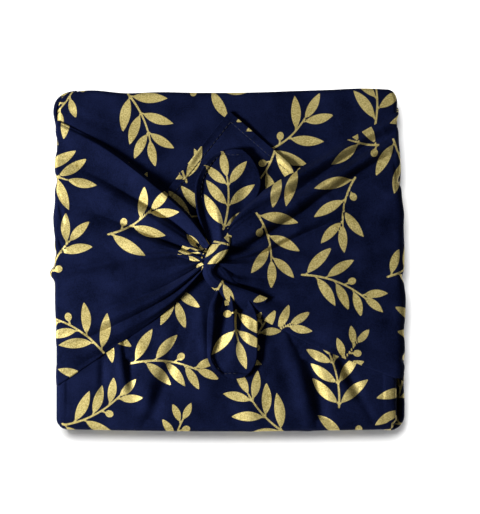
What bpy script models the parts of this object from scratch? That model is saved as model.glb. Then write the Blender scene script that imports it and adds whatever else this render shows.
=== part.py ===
"""A furoshiki wrap: one square of cotton folded round a flat square parcel and knotted on top.

The cloth is one closed solid. Its wrapped body is a soft-edged slab. On it lie, in the order in which they
are folded, the front flap with its pointed corner, the two wings that rise from the sides to the knot,
the strands of the half knot, and the two tails that spring from it.

Frame: origin at the middle of the footprint, on the surface that the parcel lies on. +Z is up, +X runs
from the left wing to the right one, and +Y points the same way as the corner of the front flap. Metres.
"""

from typing import NamedTuple

import bmesh
import bpy
import numpy as np

MM = 0.001

# The wrapped parcel
BODY_LEFT = -108.2 * MM
BODY_RIGHT = 105.7 * MM
BODY_FRONT = -107.4 * MM
BODY_BACK = 107.2 * MM
BODY_Z = 45 * MM
BODY_CORNER = 6.0 * MM  # radius of the upright edges
BODY_EDGE = 2.6 * MM  # radius of the top edges
BODY_FOOT = 1.6 * MM  # radius at the surface that it lies on
BACK_BOW = 1.4 * MM  # how far the back wall bows in, and the front wall out, at the middle
MIDDLE_SHIFT = (-0.35 * MM, 0.86 * MM)  # moves the tables' plan over the middle of the footprint

# Layers reach into what they lie on, so that the union is whole
SUNK = 2.0 * MM
WALL_SUNK = 3.0 * MM
HAIR = 0.2 * MM  # keeps two inner faces from lying in one plane

# The front flap: a corner of the square, so its two edges meet at about a right angle
FLAP_TIP = (0.4 * MM, 93.4 * MM)
FLAP_LEFT_WAY = (-0.62, -0.785)  # the direction of the left edge, away from the tip
FLAP_RIGHT_WAY = (0.755, -0.656)
FLAP_THICK = 1.1 * MM
FLAP_TIP_LIFT = 1.2 * MM
FLAP_LIFT_SHARE = 0.25  # of the flap's length lifts towards the tip
FLAP_FRONT_DIP = 0.3 * MM  # how far it has run into the slab at the front edge


class Fold(NamedTuple):
    """One line of a wing, a crest or a hollow, from the knot over the top to the side edge. Millimetres."""

    kind: str  # "edge", "crest" or "hollow"
    knot: tuple  # x, y, height over the slab where it leaves the knot
    near: tuple  # the same at about a quarter of its way
    far: tuple
    side: tuple  # at the side edge
    off_top: float  # how far it stands off the side wall at the wall's top
    off_low: float  # and at its low part


# The wings, each from its front edge to its back edge
LEFT_WING = (
    Fold("edge", (-14.5, -4.5, 3.0), (-36, -27.5, 2.4), (-75, -57, 1.2), (-107.5, -77.5, 0.4), 0.4, 1.3),
    Fold("crest", (-15, -3.5, 9.4), (-38.5, -23.5, 5.8), (-76, -52, 2.9), (-107.5, -71, 1.5), 0.8, 1.2),
    Fold("hollow", (-15.7, -2.5, 5.6), (-41.5, -17.5, 2.8), (-78.5, -44, 1.8), (-107.5, -58, 1.2), 0.4, 0.8),
    Fold("crest", (-16.4, -1.0, 10.8), (-44.5, -10, 7.0), (-81, -27.5, 3.8), (-107.5, -37, 1.9), 1.2, 1.2),
    Fold("hollow", (-16.4, 0.6, 6.2), (-43.5, 2.0, 3.4), (-82.5, -3.0, 1.6), (-107.5, -5.0, 0.7), 0.9, 1.0),
    Fold("crest", (-16.0, 2.2, 10.2), (-43.0, 12.0, 6.2), (-81.0, 17.5, 3.2), (-107.5, 17.0, 1.8), 2.3, 1.6),
    Fold("hollow", (-15.4, 4.0, 5.8), (-38.5, 24.0, 3.2), (-76.0, 46.5, 2.0), (-107.5, 52.0, 1.2), 1.4, 1.0),
    Fold("crest", (-13.8, 7.2, 11.6), (-32.5, 29.5, 7.4), (-75.5, 65.0, 3.6), (-107.5, 78.0, 1.7), 0.9, 1.2),
    Fold("edge", (-11.3, 11.3, 3.4), (-30.0, 34.5, 2.4), (-73.5, 70.0, 1.0), (-107.5, 90.5, 0.4), 0.4, 2.6),
)
RIGHT_WING = (
    Fold("edge", (-12.6, -5.7, 3.2), (7.0, -27.0, 2.8), (56.0, -53.0, 1.3), (105.0, -73.0, 0.6), 4.0, 6.0),
    Fold("crest", (-13.2, -4.2, 10.6), (9.0, -22.0, 6.4), (58.5, -46.0, 3.2), (105.0, -66.0, 2.0), 5.0, 5.6),
    Fold("hollow", (-12.6, -2.8, 6.0), (10.0, -17.5, 3.6), (54.0, -29.5, 2.6), (105.0, -48.5, 1.8), 4.6, 4.6),
    Fold("crest", (-10.0, -1.6, 11.2), (11.5, -11.5, 7.0), (56.0, -16.5, 4.0), (105.0, -24.5, 2.2), 5.4, 4.0),
    Fold("hollow", (-6.3, -0.6, 7.2), (13.0, -4.5, 5.4), (56.0, -1.5, 3.0), (105.0, -4.5, 1.7), 3.8, 3.0),
    Fold("crest", (-2.5, 0.6, 10.8), (14.0, 0.6, 6.8), (54.5, 13.0, 3.9), (105.0, 10.5, 2.0), 5.0, 3.2),
    Fold("hollow", (-1.3, 2.5, 5.2), (14.5, 6.5, 2.8), (53.0, 27.0, 2.0), (105.0, 48.5, 1.2), 2.8, 2.2),
    Fold("crest", (-0.6, 7.5, 12.2), (13.0, 22.0, 8.8), (51.5, 47.0, 4.8), (105.0, 73.0, 1.9), 0.9, 1.2),
    Fold("edge", (-0.6, 22.5, 3.6), (15.0, 39.5, 3.0), (56.0, 65.5, 1.2), (105.0, 93.0, 0.4), 0.3, 0.9),
)
WING_ROWS = 14  # rows from the knot to the side edge
FOLD_STEPS = 4  # columns from one fold to the next
EDGE_TURNS = (35, 65, 90)  # degrees through which a wing turns over the side edge
WALL_STEPS = (0.2, 0.45, 0.7, 0.88, 1.0)  # of the way down the wall
WALL_LOW = 0.6  # where the low stand-off holds, and below which a wing draws in to its foot
WALL_CORNER_GAP = 5.0 * MM  # where a wing's edge ends at the foot, from the upright edge of the slab
WALL_FOOT = 0.5 * MM  # height at which a wing ends
FOOT_STAND = 0.3 * MM


class Section(NamedTuple):
    """A cross section of a strand of gathered cloth. Millimetres."""

    x: float
    y: float
    top: float  # height over the slab
    width: float
    thick: float


# The half knot: the right wing's strand rises over the left wing's one
OVER_STRAND = (
    Section(10.5, -22.5, 3.0, 8.0, 4.5),
    Section(0.0, -15.0, 8.4, 10.0, 7.4),
    Section(-9.7, -7.5, 12.4, 11.8, 9.4),
    Section(-10.0, 0.0, 14.6, 12.6, 10.4),
    Section(-7.0, 7.0, 15.0, 12.6, 10.2),
    Section(-5.3, 12.6, 12.4, 11.6, 8.4),
    Section(-5.0, 18.0, 8.0, 9.6, 5.4),
    Section(-5.0, 23.5, 5.4, 8.0, 2.6),
)
UNDER_STRAND = (
    Section(-29.5, 9.0, 4.8, 17.0, 6.0),
    Section(-20.0, 3.8, 8.4, 14.5, 8.8),
    Section(-13.0, -1.0, 9.6, 13.2, 9.4),
    Section(-6.3, -7.2, 8.6, 13.2, 8.8),
    Section(-1.3, -14.5, 6.8, 14.0, 7.0),
    Section(1.9, -21.5, 4.2, 16.0, 4.4),
    Section(3.1, -27.0, 2.6, 18.0, 2.6),
)
STRAND_ROWS = 14
STRAND_SIDES = 24
STRAND_SQUARE = 0.8  # power that fills out the strand's round section
PLEATS = 3
PLEAT_DEPTH = 0.13  # of the strand's half thickness


class Rib(NamedTuple):
    """A line across a tail, each place as x, y and height over the slab. Millimetres."""

    left: tuple
    fold: tuple
    crest: tuple
    right: tuple


UPPER_TAIL = (
    Rib((-11.0, 9.5, 11.6), (-8.5, 9.5, 12.6), (-5.0, 9.5, 14.4), (-0.6, 9.5, 12.4)),
    Rib((-15.5, 20.0, 8.0), (-11.3, 20.0, 7.4), (-4.7, 20.8, 12.2), (1.3, 21.4, 8.8)),
    Rib((-19.5, 30.0, 6.6), (-13.0, 30.0, 4.6), (-2.0, 31.5, 10.0), (9.0, 30.0, 4.6)),
    Rib((-20.5, 39.0, 6.6), (-13.5, 39.5, 4.4), (0.6, 41.0, 9.4), (15.7, 37.7, 5.0)),
    Rib((-20.0, 48.5, 6.8), (-13.2, 49.0, 5.4), (1.9, 50.3, 8.8), (19.5, 47.8, 8.0)),
    Rib((-16.5, 57.2, 7.0), (-10.4, 58.0, 6.0), (2.5, 59.0, 8.0), (18.0, 57.2, 8.2)),
    Rib((-10.7, 64.8, 6.6), (-6.6, 65.4, 6.2), (2.8, 66.4, 7.4), (13.5, 65.0, 7.6)),
    Rib((-2.5, 69.4, 6.2), (-0.3, 69.8, 6.2), (3.0, 70.2, 6.8), (8.2, 69.9, 7.0)),
)
LOWER_TAIL = (
    Rib((-7.0, -13.2, 6.0), (-4.4, -13.2, 6.4), (-0.9, -13.8, 8.2), (3.8, -16.4, 6.4)),
    Rib((-5.7, -21.4, 6.2), (-1.9, -21.4, 5.2), (3.0, -22.0, 8.4), (10.7, -24.0, 6.0)),
    Rib((-8.8, -30.2, 5.4), (-2.5, -30.8, 3.2), (5.7, -31.4, 8.0), (15.7, -31.4, 5.4)),
    Rib((-11.3, -41.5, 4.6), (-3.8, -41.5, 2.6), (7.0, -41.5, 7.2), (17.6, -42.0, 5.2)),
    Rib((-12.6, -52.8, 4.0), (-4.7, -52.8, 2.6), (7.0, -52.2, 6.2), (17.0, -52.8, 4.8)),
    Rib((-12.3, -61.6, 3.6), (-5.3, -61.6, 2.8), (6.0, -61.0, 5.0), (15.5, -62.3, 4.2)),
    Rib((-8.2, -68.6, 3.2), (-2.8, -68.6, 3.0), (4.4, -68.2, 4.0), (11.6, -69.2, 3.8)),
    Rib((-2.5, -72.8, 3.0), (0.0, -73.1, 3.0), (2.8, -73.1, 3.2), (6.2, -72.6, 3.2)),
)
TAIL_ROWS = 18
TAIL_COLUMNS = 13
TAIL_THICK = 1.7 * MM

SHARP_FOLD = np.radians(50)
COLOUR = (0.018, 0.026, 0.11, 1.0)
ROUGHNESS = 0.85


def clear_scene():
    for obj in list(bpy.data.objects):
        bpy.data.objects.remove(obj)


def collection(name, hidden=False):
    made = bpy.data.collections.new(name)
    made.hide_render = hidden
    bpy.context.scene.collection.children.link(made)
    return made


def cloth_material():
    made = bpy.data.materials.new("navy_cotton")
    made.use_nodes = True
    shader = made.node_tree.nodes["Principled BSDF"]
    shader.inputs["Base Color"].default_value = COLOUR
    shader.inputs["Roughness"].default_value = ROUGHNESS
    shader.inputs["Metallic"].default_value = 0.0
    return made


def finished(name, work, home):
    """An object from a bmesh: smooth but for its sharp folds, facing outwards, and set over the footprint."""
    bmesh.ops.recalc_face_normals(work, faces=work.faces)
    bmesh.ops.triangulate(work, faces=work.faces)
    mesh = bpy.data.meshes.new(name)
    work.to_mesh(mesh)
    work.free()
    mesh.shade_smooth()
    mesh.set_sharp_from_angle(angle=SHARP_FOLD)
    obj = bpy.data.objects.new(name, mesh)
    obj.location = (*MIDDLE_SHIFT, 0)
    home.objects.link(obj)
    return obj


def loft(name, rows, home, around=False):
    """Quads through rows of points. When they go around, a face closes each end."""
    work = bmesh.new()
    grid = [[work.verts.new(point) for point in row] for row in rows]
    for a, b in zip(grid, grid[1:]):
        for j in range(len(a) if around else len(a) - 1):
            k = (j + 1) % len(a)
            work.faces.new((a[j], a[k], b[k], b[j]))
    if around:
        work.faces.new(grid[0])
        work.faces.new(grid[-1])
    return finished(name, work, home)


def sheet(name, rows, thickness, home):
    """An open surface made as thick as the cloth, on its underside."""
    obj = loft(name, rows, home)
    if obj.data.polygons[0].normal.z < 0:
        obj.data.flip_normals()
    solid = obj.modifiers.new("thickness", "SOLIDIFY")
    solid.thickness = thickness
    solid.offset = -1
    obj.modifiers.new("triangles", "TRIANGULATE")
    return obj


def smooth_along(table, count):
    """The first axis of a table read at count even steps along a smooth curve through its entries."""
    knots = np.asarray(table, float)
    at = np.linspace(0, len(knots) - 1, count)
    i = np.clip(at.astype(int), 0, len(knots) - 2)
    f = (at - i).reshape((-1,) + (1,) * (knots.ndim - 1))
    a, b = knots[i], knots[i + 1]
    before = knots[np.maximum(i - 1, 0)]
    after = knots[np.minimum(i + 2, len(knots) - 1)]
    return (
        a * (2 * f**3 - 3 * f**2 + 1)
        + (b - before) / 2 * (f**3 - 2 * f**2 + f)
        + b * (3 * f**2 - 2 * f**3)
        + (after - a) / 2 * (f**3 - f**2)
    )


def rim_edges(work, height):
    """The edges where the walls meet the flat face at a height."""
    level = [e for e in work.edges if all(abs(v.co.z - height) < HAIR for v in e.verts)]
    return [e for e in level if any(abs(f.normal.z) < 0.5 for f in e.link_faces)]


def bevel(work, edges, radius, segments):
    bmesh.ops.bevel(work, geom=edges, offset=radius, segments=segments, profile=0.5, affect="EDGES")
    work.normal_update()


def wrapped_body(home):
    """The soft-edged slab: a block with round upright edges, bowed front and back walls, and soft rims."""
    work = bmesh.new()
    bmesh.ops.create_cube(work, size=1.0)
    width = BODY_RIGHT - BODY_LEFT
    bmesh.ops.scale(work, vec=(width, BODY_BACK - BODY_FRONT, BODY_Z), verts=work.verts)
    middle = ((BODY_RIGHT + BODY_LEFT) / 2, (BODY_BACK + BODY_FRONT) / 2, BODY_Z / 2)
    bmesh.ops.translate(work, vec=middle, verts=work.verts)
    upright = [e for e in work.edges if abs(e.verts[0].co.z - e.verts[1].co.z) > BODY_Z / 2]
    bevel(work, upright, BODY_CORNER, 5)
    for share in (0.25, 0.5, 0.75):
        geom = work.verts[:] + work.edges[:] + work.faces[:]
        place = (BODY_LEFT + width * share, 0, 0)
        bmesh.ops.bisect_plane(work, geom=geom, plane_co=place, plane_no=(1, 0, 0))
    for vert in work.verts:
        vert.co.y -= BACK_BOW * np.sin(np.pi * (vert.co.x - BODY_LEFT) / width)
    bmesh.ops.recalc_face_normals(work, faces=work.faces)
    bevel(work, rim_edges(work, BODY_Z), BODY_EDGE, 3)
    bevel(work, rim_edges(work, 0), BODY_FOOT, 2)
    return finished("wrapped_body", work, home)


def front_flap(home):
    """The corner that lies over the back flap. It runs level with the slab at the front edge."""
    margin = BODY_EDGE + 1 * MM
    size = 9
    surface = np.zeros((size, size, 3))
    for row, along in zip(surface, np.linspace(0, 1, size)):
        down = (FLAP_TIP[1] - BODY_FRONT - margin) * along**1.3 + HAIR
        low = FLAP_TIP[0] + down / -FLAP_LEFT_WAY[1] * FLAP_LEFT_WAY[0]
        high = FLAP_TIP[0] + down / -FLAP_RIGHT_WAY[1] * FLAP_RIGHT_WAY[0]
        row[:, 0] = np.linspace(max(low, BODY_LEFT + margin), min(high, BODY_RIGHT - margin), size)
        row[:, 1] = FLAP_TIP[1] - down
        row[:, 2] = BODY_Z + FLAP_THICK * (1 - along) - FLAP_FRONT_DIP * along
        row[:, 2] += FLAP_TIP_LIFT * max(0.0, 1 - along / FLAP_LIFT_SHARE) ** 2
    return sheet("front_flap", surface, FLAP_THICK + SUNK, home)


def fill_folds(kinds, values):
    """Columns between neighbouring folds, which lie along the last axis but one.

    The last value of each is its height. It rises fast from a hollow or an edge and slowly to a crest.
    """
    share = np.arange(FOLD_STEPS) / FOLD_STEPS
    columns = []
    for i, kind in enumerate(kinds[:-1]):
        bent = 1 - np.cos(np.pi / 2 * share) if kind == "crest" else np.sin(np.pi / 2 * share)
        a, b = values[:, i], values[:, i + 1]
        for p, q in zip(share, bent):
            filled = a + (b - a) * p
            filled[:, -1] = a[:, -1] + (b[:, -1] - a[:, -1]) * q
            columns.append(filled)
    columns.append(values[:, -1])
    return np.stack(columns, axis=1)


def wing(name, folds, side, home):
    """A wing: over the top from the knot to the side edge, round that edge and down the wall to the foot.

    Each ring goes along the outer surface and back through the inside of the slab.
    """
    kinds = [fold.kind for fold in folds]
    lines = np.array([(fold.knot, fold.near, fold.far, fold.side) for fold in folds]) * MM
    top = fill_folds(kinds, smooth_along(lines.transpose(1, 0, 2), WING_ROWS))
    top[:, :, 2] += BODY_Z
    off = np.array([(fold.off_top, fold.off_low) for fold in folds]).T[:, :, None] * MM
    off_top, off_low = fill_folds(kinds, off)[:, :, 0]
    wall = BODY_LEFT if side < 0 else BODY_RIGHT
    edge = top[-1]
    inner = wall - side * WALL_SUNK
    level = np.ones(len(edge))
    outside = list(top)
    inside = []
    for row in top:
        x = np.minimum(row[:, 0] * side, inner * side - HAIR) * side
        inside.append(np.column_stack([x, row[:, 1], level * (BODY_Z - SUNK)]))
    shoulder = BODY_Z - BODY_EDGE
    for turned, angle in enumerate(np.radians(EDGE_TURNS), start=1):
        x = edge[:, 0] + (wall + side * off_top - edge[:, 0]) * np.sin(angle)
        z = shoulder + (edge[:, 2] - shoulder) * np.cos(angle)
        outside.append(np.column_stack([x, edge[:, 1], z]))
        inside.append(np.column_stack([level * inner, edge[:, 1], level * (BODY_Z - SUNK - turned * HAIR)]))
    foot = np.linspace(BODY_FRONT + WALL_CORNER_GAP, BODY_BACK - WALL_CORNER_GAP, len(edge))
    for down in WALL_STEPS:
        stand = off_top + (off_low - off_top) * min(1.0, down / WALL_LOW)
        stand -= (stand - FOOT_STAND) * max(0.0, (down - WALL_LOW) / (1 - WALL_LOW)) ** 2
        y = edge[:, 1] + (foot - edge[:, 1]) * down
        z = level * (shoulder + (WALL_FOOT - shoulder) * down)
        outside.append(np.column_stack([wall + side * stand, y, z]))
        inside.append(np.column_stack([level * inner, y, z]))
    rings = [np.concatenate([out, back[::-1]]) for out, back in zip(outside, inside)]
    return loft(name, rings, home, around=True)


def swell(wave):
    """A sine or cosine made fuller, so that a round section comes near to a soft rectangle."""
    return np.sign(wave) * np.abs(wave) ** STRAND_SQUARE


def strand(name, sections, home):
    """A flattened strand of gathered cloth, with pleats along its upper side."""
    rows = smooth_along(sections, STRAND_ROWS) * MM
    way = np.gradient(rows[:, :2], axis=0)
    way /= np.linalg.norm(way, axis=1)[:, None]
    angles = np.linspace(0, 2 * np.pi, STRAND_SIDES, endpoint=False)
    pleat = 1 - PLEAT_DEPTH * (1 - np.abs(np.cos(PLEATS * angles))) * (np.sin(angles) > 0.1)
    rings = []
    for (x, y, top, width, thick), (way_x, way_y) in zip(rows, way):
        wide = width / 2 * swell(np.cos(angles))
        high = thick / 2 * (swell(np.sin(angles)) * pleat - 1)
        rings.append(np.column_stack([x + way_y * wide, y - way_x * wide, BODY_Z + top + high]))
    return loft(name, rings, home, around=True)


def tail(name, ribs, home):
    """A tail of the knot: a thick sheet from its neck to its round end, with a fold and a crest along it."""
    along = smooth_along(ribs, TAIL_ROWS)
    surface = smooth_along(along.transpose(1, 0, 2), TAIL_COLUMNS).transpose(1, 0, 2) * MM
    surface[:, :, 2] += BODY_Z
    return sheet(name, surface, TAIL_THICK, home)


def join(body, others):
    """One solid of the body and all that lies on it."""
    for other in others:
        other.hide_render = True
        other.display_type = "WIRE"
        union = body.modifiers.new(other.name, "BOOLEAN")
        union.operation = "UNION"
        union.object = other
        union.solver = "EXACT"


def main():
    clear_scene()
    parcel = collection("furoshiki_wrap")
    layers = collection("layers", hidden=True)
    cloth = wrapped_body(parcel)
    cloth.name = "furoshiki_cloth"
    cloth.data.materials.append(cloth_material())
    folds = [
        front_flap(layers),
        wing("left_wing", LEFT_WING, -1, layers),
        wing("right_wing", RIGHT_WING, 1, layers),
        strand("under_strand", UNDER_STRAND, layers),
        strand("over_strand", OVER_STRAND, layers),
        tail("upper_tail", UPPER_TAIL, layers),
        tail("lower_tail", LOWER_TAIL, layers),
    ]
    join(cloth, folds)


main()
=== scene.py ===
"""A furoshiki wrap: one square of printed cotton, folded round a flat square parcel and knotted on top.

The cloth is dressed panel by panel, in the order in which it is folded: the wrap round the parcel, the
front flap with its hemmed corner, the two wings, the strands of the half knot and the two tails.

Tables are in millimetres as a maker would measure them on the top of the parcel, X to the right wing and Y
to the corner of the front flap. Z is the height over the surface that it lies on, or over the slab where a
field says so. A mesh is made in metres, with the tables' plan set over the middle of the footprint.
"""

import logging
from dataclasses import astuple, dataclass, replace
from enum import Enum
from typing import Any, Sequence

import bpy
import numpy as np
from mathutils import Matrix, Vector


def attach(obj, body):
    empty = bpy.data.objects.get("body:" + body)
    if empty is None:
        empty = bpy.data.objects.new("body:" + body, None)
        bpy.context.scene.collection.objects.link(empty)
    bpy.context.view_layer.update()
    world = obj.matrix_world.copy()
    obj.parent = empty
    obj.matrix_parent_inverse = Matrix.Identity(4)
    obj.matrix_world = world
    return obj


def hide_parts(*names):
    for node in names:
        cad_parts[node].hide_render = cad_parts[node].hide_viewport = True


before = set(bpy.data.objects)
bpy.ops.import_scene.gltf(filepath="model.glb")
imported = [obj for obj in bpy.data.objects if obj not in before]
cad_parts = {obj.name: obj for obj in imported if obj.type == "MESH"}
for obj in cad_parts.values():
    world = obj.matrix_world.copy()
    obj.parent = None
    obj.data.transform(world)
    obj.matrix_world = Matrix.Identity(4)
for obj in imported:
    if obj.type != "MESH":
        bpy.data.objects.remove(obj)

log = logging.getLogger("furoshiki")

Array = np.ndarray
Pair = tuple[float, float]
Triple = tuple[float, float, float]
Layer = tuple[float, float, int]  # of soft noise: its pitch, its height and its seed

MM = 0.001
SHIFT = (-0.35, 0.86, 0.0)  # from the tables' plan to the middle of the footprint
NODE = "furoshiki_cloth"
FAR = 4.0  # as far from the ink as a place is ever said to be
FLAP_TIP = (0.4, 93.4)  # the front flap's corner
LATTICE = 61  # how many random values a side of soft noise repeats


# Curves and surfaces ------------------------------------------------------------------------------------


def ease(t: Array) -> Array:
    """A smooth step: 0 up to t = 0, 1 from t = 1, and 3t^2 - 2t^3 between.

    Args:
        t: where along the step.

    Returns:
        The step's height there.
    """
    t = np.clip(t, 0.0, 1.0)
    return t * t * (3 - 2 * t)


def smooth_along(table: Any, count: int) -> Array:
    """A table read at even steps along a smooth curve through its entries.

    Between two entries it is the cubic that meets both, with the slope at each half the difference of its
    neighbours.

    Args:
        table: entries along the first axis.
        count: how many entries come back.

    Returns:
        The table at that many places along its first axis.
    """
    knots = np.asarray(table, float)
    at = np.linspace(0, len(knots) - 1, count)
    i = np.clip(at.astype(int), 0, len(knots) - 2)
    f = (at - i).reshape((-1,) + (1,) * (knots.ndim - 1))
    a, b = knots[i], knots[i + 1]
    before = knots[np.maximum(i - 1, 0)]
    after = knots[np.minimum(i + 2, len(knots) - 1)]
    rise = (b - before) / 2 * (f**3 - 2 * f**2 + f) + (after - a) / 2 * (f**3 - f**2)
    return a * (2 * f**3 - 3 * f**2 + 1) + b * (3 * f**2 - 2 * f**3) + rise


def soft_noise(x: Array, y: Array, size: float, seed: int) -> Array:
    """Soft unevenness from -1 to 1: seeded random values on a square lattice, blended by a smooth step.

    Args:
        x: places along one side of the lattice, in millimetres.
        y: places along the other.
        size: the lattice's pitch, in millimetres.
        seed: picks the random values.

    Returns:
        The unevenness at each place.
    """
    lattice = np.random.default_rng(seed).uniform(-1, 1, (LATTICE, LATTICE))
    gx, gy = x / size, y / size
    i, j = np.floor(gx).astype(int), np.floor(gy).astype(int)
    fx, fy = ease(gx - i), ease(gy - j)

    def row(k: Array) -> Array:
        """The values along one line of the lattice, blended across it."""
        k = k % LATTICE
        return lattice[i % LATTICE, k] * (1 - fx) + lattice[(i + 1) % LATTICE, k] * fx

    return row(j) * (1 - fy) + row(j + 1) * fy


def uneven(x: Array, y: Array, *layers: Layer) -> Array:
    """The summed lift of several layers of soft noise, in millimetres."""
    return sum(soft_noise(x, y, size, seed) * height for size, height, seed in layers)


def unit(v: Array) -> Array:
    """Vectors along the last axis, each divided by its length."""
    return v / np.maximum(np.linalg.norm(v, axis=-1, keepdims=True), 1e-9)


def along_arc(points: Array, axis: int) -> Array:
    """How far each point of a grid lies along its line: the summed steps from the line's first point.

    Args:
        points: a grid of points, rows by columns by three.
        axis: 0 to go down the rows, 1 to go across the columns.

    Returns:
        The distance for each point of the grid.
    """
    step = np.linalg.norm(np.diff(points, axis=axis), axis=-1)
    start = np.zeros_like(np.take(step, [0], axis=axis))
    return np.concatenate([start, np.cumsum(step, axis=axis)], axis=axis)


def grid_normals(points: Array) -> Array:
    """The upward normals of a grid of points: the cross product of its two directions.

    Args:
        points: a grid of points, rows by columns by three.

    Returns:
        A unit normal for each point, turned so that most of them point up.
    """
    normal = unit(np.cross(np.gradient(points, axis=0), np.gradient(points, axis=1)))
    return normal if normal[..., 2].sum() >= 0 else -normal


@dataclass(frozen=True)
class Crease:
    """A soft ridge or trough along a bowed line on the cloth, in millimetres."""

    start: Pair
    end: Pair
    height: float  # over 0 for a ridge, under 0 for a trough
    width: float
    bow: float = 0.0  # how far its middle stands to the left of its chord
    sharp: bool = False

    def lift(self, x: Array, y: Array) -> Array:
        """How far the crease lifts the cloth.

        The height falls off across the line as exp(-(off / width)^2), or as exp(-|off| / width) where it is
        sharp, and fades to nothing at both ends as the root of a half sine.

        Args:
            x: places on the cloth.
            y: places on the cloth.

        Returns:
            The lift at each place.
        """
        way = np.subtract(self.end, self.start)
        length = float(np.hypot(*way))
        ex, ey = way / length
        dx, dy = x - self.start[0], y - self.start[1]
        t = np.clip((dx * ex + dy * ey) / length, 0, 1)
        arch = np.sin(np.pi * t)
        off = np.abs(dy * ex - dx * ey - self.bow * arch) / self.width
        return self.height * np.sqrt(arch) * np.exp(-off if self.sharp else -(off**2))


def creased(x: Array, y: Array, creases: Sequence[Crease]) -> Array:
    """The summed lift of several creases."""
    return sum((crease.lift(x, y) for crease in creases), np.zeros_like(x, dtype=float))


# The print ----------------------------------------------------------------------------------------------


PITCH = (48.0, 47.0)  # the print's steps along X and Y, in millimetres
TOSS = 1.5  # how far a twig may stand off its place in the repeat
TOSS_TURNS = (2.4, 1.7)  # radians from one twig's toss to the next, along X and Y
STRIDE = (3, 2)  # how many twigs further on the next column and the next row start
GOLDEN_ANGLE = 137.5  # degrees from one twig's heading to the next
STEM_PIECES = 12  # straight pieces by which a bowed stem is measured
STALK_HALF = (0.6, 0.6)  # half a stalk's width at its two ends
LEAF_BEND = 0.025  # how far a leaf bows, as a share of its length


def seen_along(x: Array, y: Array, foot: Pair, heading: float) -> tuple[Array, Array]:
    """How far each place lies along a heading from a foot, and how far to its left.

    Args:
        x: places on the cloth.
        y: places on the cloth.
        foot: where the heading starts.
        heading: in degrees.

    Returns:
        The two distances for each place.
    """
    c, s = np.cos(np.radians(heading)), np.sin(np.radians(heading))
    dx, dy = x - foot[0], y - foot[1]
    return dx * c + dy * s, dy * c - dx * s


@dataclass(frozen=True)
class Leaf:
    """One printed leaf, from its stalk at (x, y) to its point. Millimetres and degrees."""

    x: float
    y: float
    heading: float
    length: float
    bend: float  # how far it bows to its left, as a share of its length
    narrow: float = 2.2  # the width that every leaf has
    widening: float = 0.2  # what each millimetre of length adds to it
    belly: float = 0.92  # under 1 puts the widest part nearer the stalk

    @property
    def reach(self) -> float:
        """How far from (x, y) the leaf can be felt."""
        return self.length + FAR

    def distance(self, x: Array, y: Array) -> Array:
        """How far outside the leaf a place is, and under 0 inside.

        With u along the leaf from 0 to 1, raised to the power "belly", and v across it, the leaf is where
        |v - bow| is less than its half width times 4u(1-u).

        Args:
            x: places on the cloth.
            y: places on the cloth.

        Returns:
            The distance, near enough, in millimetres.
        """
        along, across = seen_along(x, y, (self.x, self.y), self.heading)
        half = (self.narrow + self.widening * self.length) / 2
        u = np.sign(along / self.length) * np.abs(along / self.length) ** self.belly
        arch = 4 * u * (1 - u)
        return np.abs(across - self.bend * self.length * arch) - half * arch


@dataclass(frozen=True)
class Stem:
    """A printed stem through three points, thinner at its end."""

    start: Pair
    middle: Pair
    end: Pair
    half: Pair = (0.75, 0.6)  # half its width at its start and end

    @property
    def x(self) -> float:
        """The middle of its chord."""
        return (self.start[0] + self.end[0]) / 2

    @property
    def y(self) -> float:
        """The middle of its chord."""
        return (self.start[1] + self.end[1]) / 2

    @property
    def reach(self) -> float:
        """How far from its middle the stem can be felt."""
        bow = np.hypot(self.middle[0] - self.x, self.middle[1] - self.y)
        return float(np.hypot(self.end[0] - self.start[0], self.end[1] - self.start[1]) / 2 + bow + FAR)

    def place(self, t: Array) -> Array:
        """Points on the stem: (1-t)^2 start + 2t(1-t) pull + t^2 end, pulled through its middle.

        Args:
            t: shares of the way from its start to its end.

        Returns:
            One line a point.
        """
        t = np.asarray(t, float)[:, None]
        a, m, b = (np.array(p, float) for p in (self.start, self.middle, self.end))
        pull = 2 * m - (a + b) / 2
        return (1 - t) ** 2 * a + 2 * t * (1 - t) * pull + t**2 * b

    def distance(self, x: Array, y: Array) -> Array:
        """The least distance to the stem's straight pieces, less its half width there.

        Args:
            x: places on the cloth.
            y: places on the cloth.

        Returns:
            The distance in millimetres, under 0 on the stem.
        """
        share = np.linspace(0, 1, STEM_PIECES + 1)
        points = self.place(share)
        least = np.full(x.shape, FAR)
        for (ax, ay), (bx, by), t in zip(points, points[1:], share):
            wx, wy = bx - ax, by - ay
            f = np.clip(((x - ax) * wx + (y - ay) * wy) / (wx * wx + wy * wy + 1e-9), 0, 1)
            thick = self.half[0] + (self.half[1] - self.half[0]) * (t + f / STEM_PIECES)
            least = np.minimum(least, np.hypot(x - ax - f * wx, y - ay - f * wy) - thick)
        return least


@dataclass(frozen=True)
class Berry:
    """A printed olive, a little longer than wide."""

    x: float
    y: float
    heading: float
    radius: float = 2.3
    roundness: float = 0.85  # its width as a share of its length

    @property
    def reach(self) -> float:
        """How far from its middle the olive can be felt."""
        return self.radius + FAR

    def distance(self, x: Array, y: Array) -> Array:
        """The distance from its middle, with the part along it counted by its roundness, less its radius."""
        along, across = seen_along(x, y, (self.x, self.y), self.heading)
        return np.hypot(along * self.roundness, across) - self.radius


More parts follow.
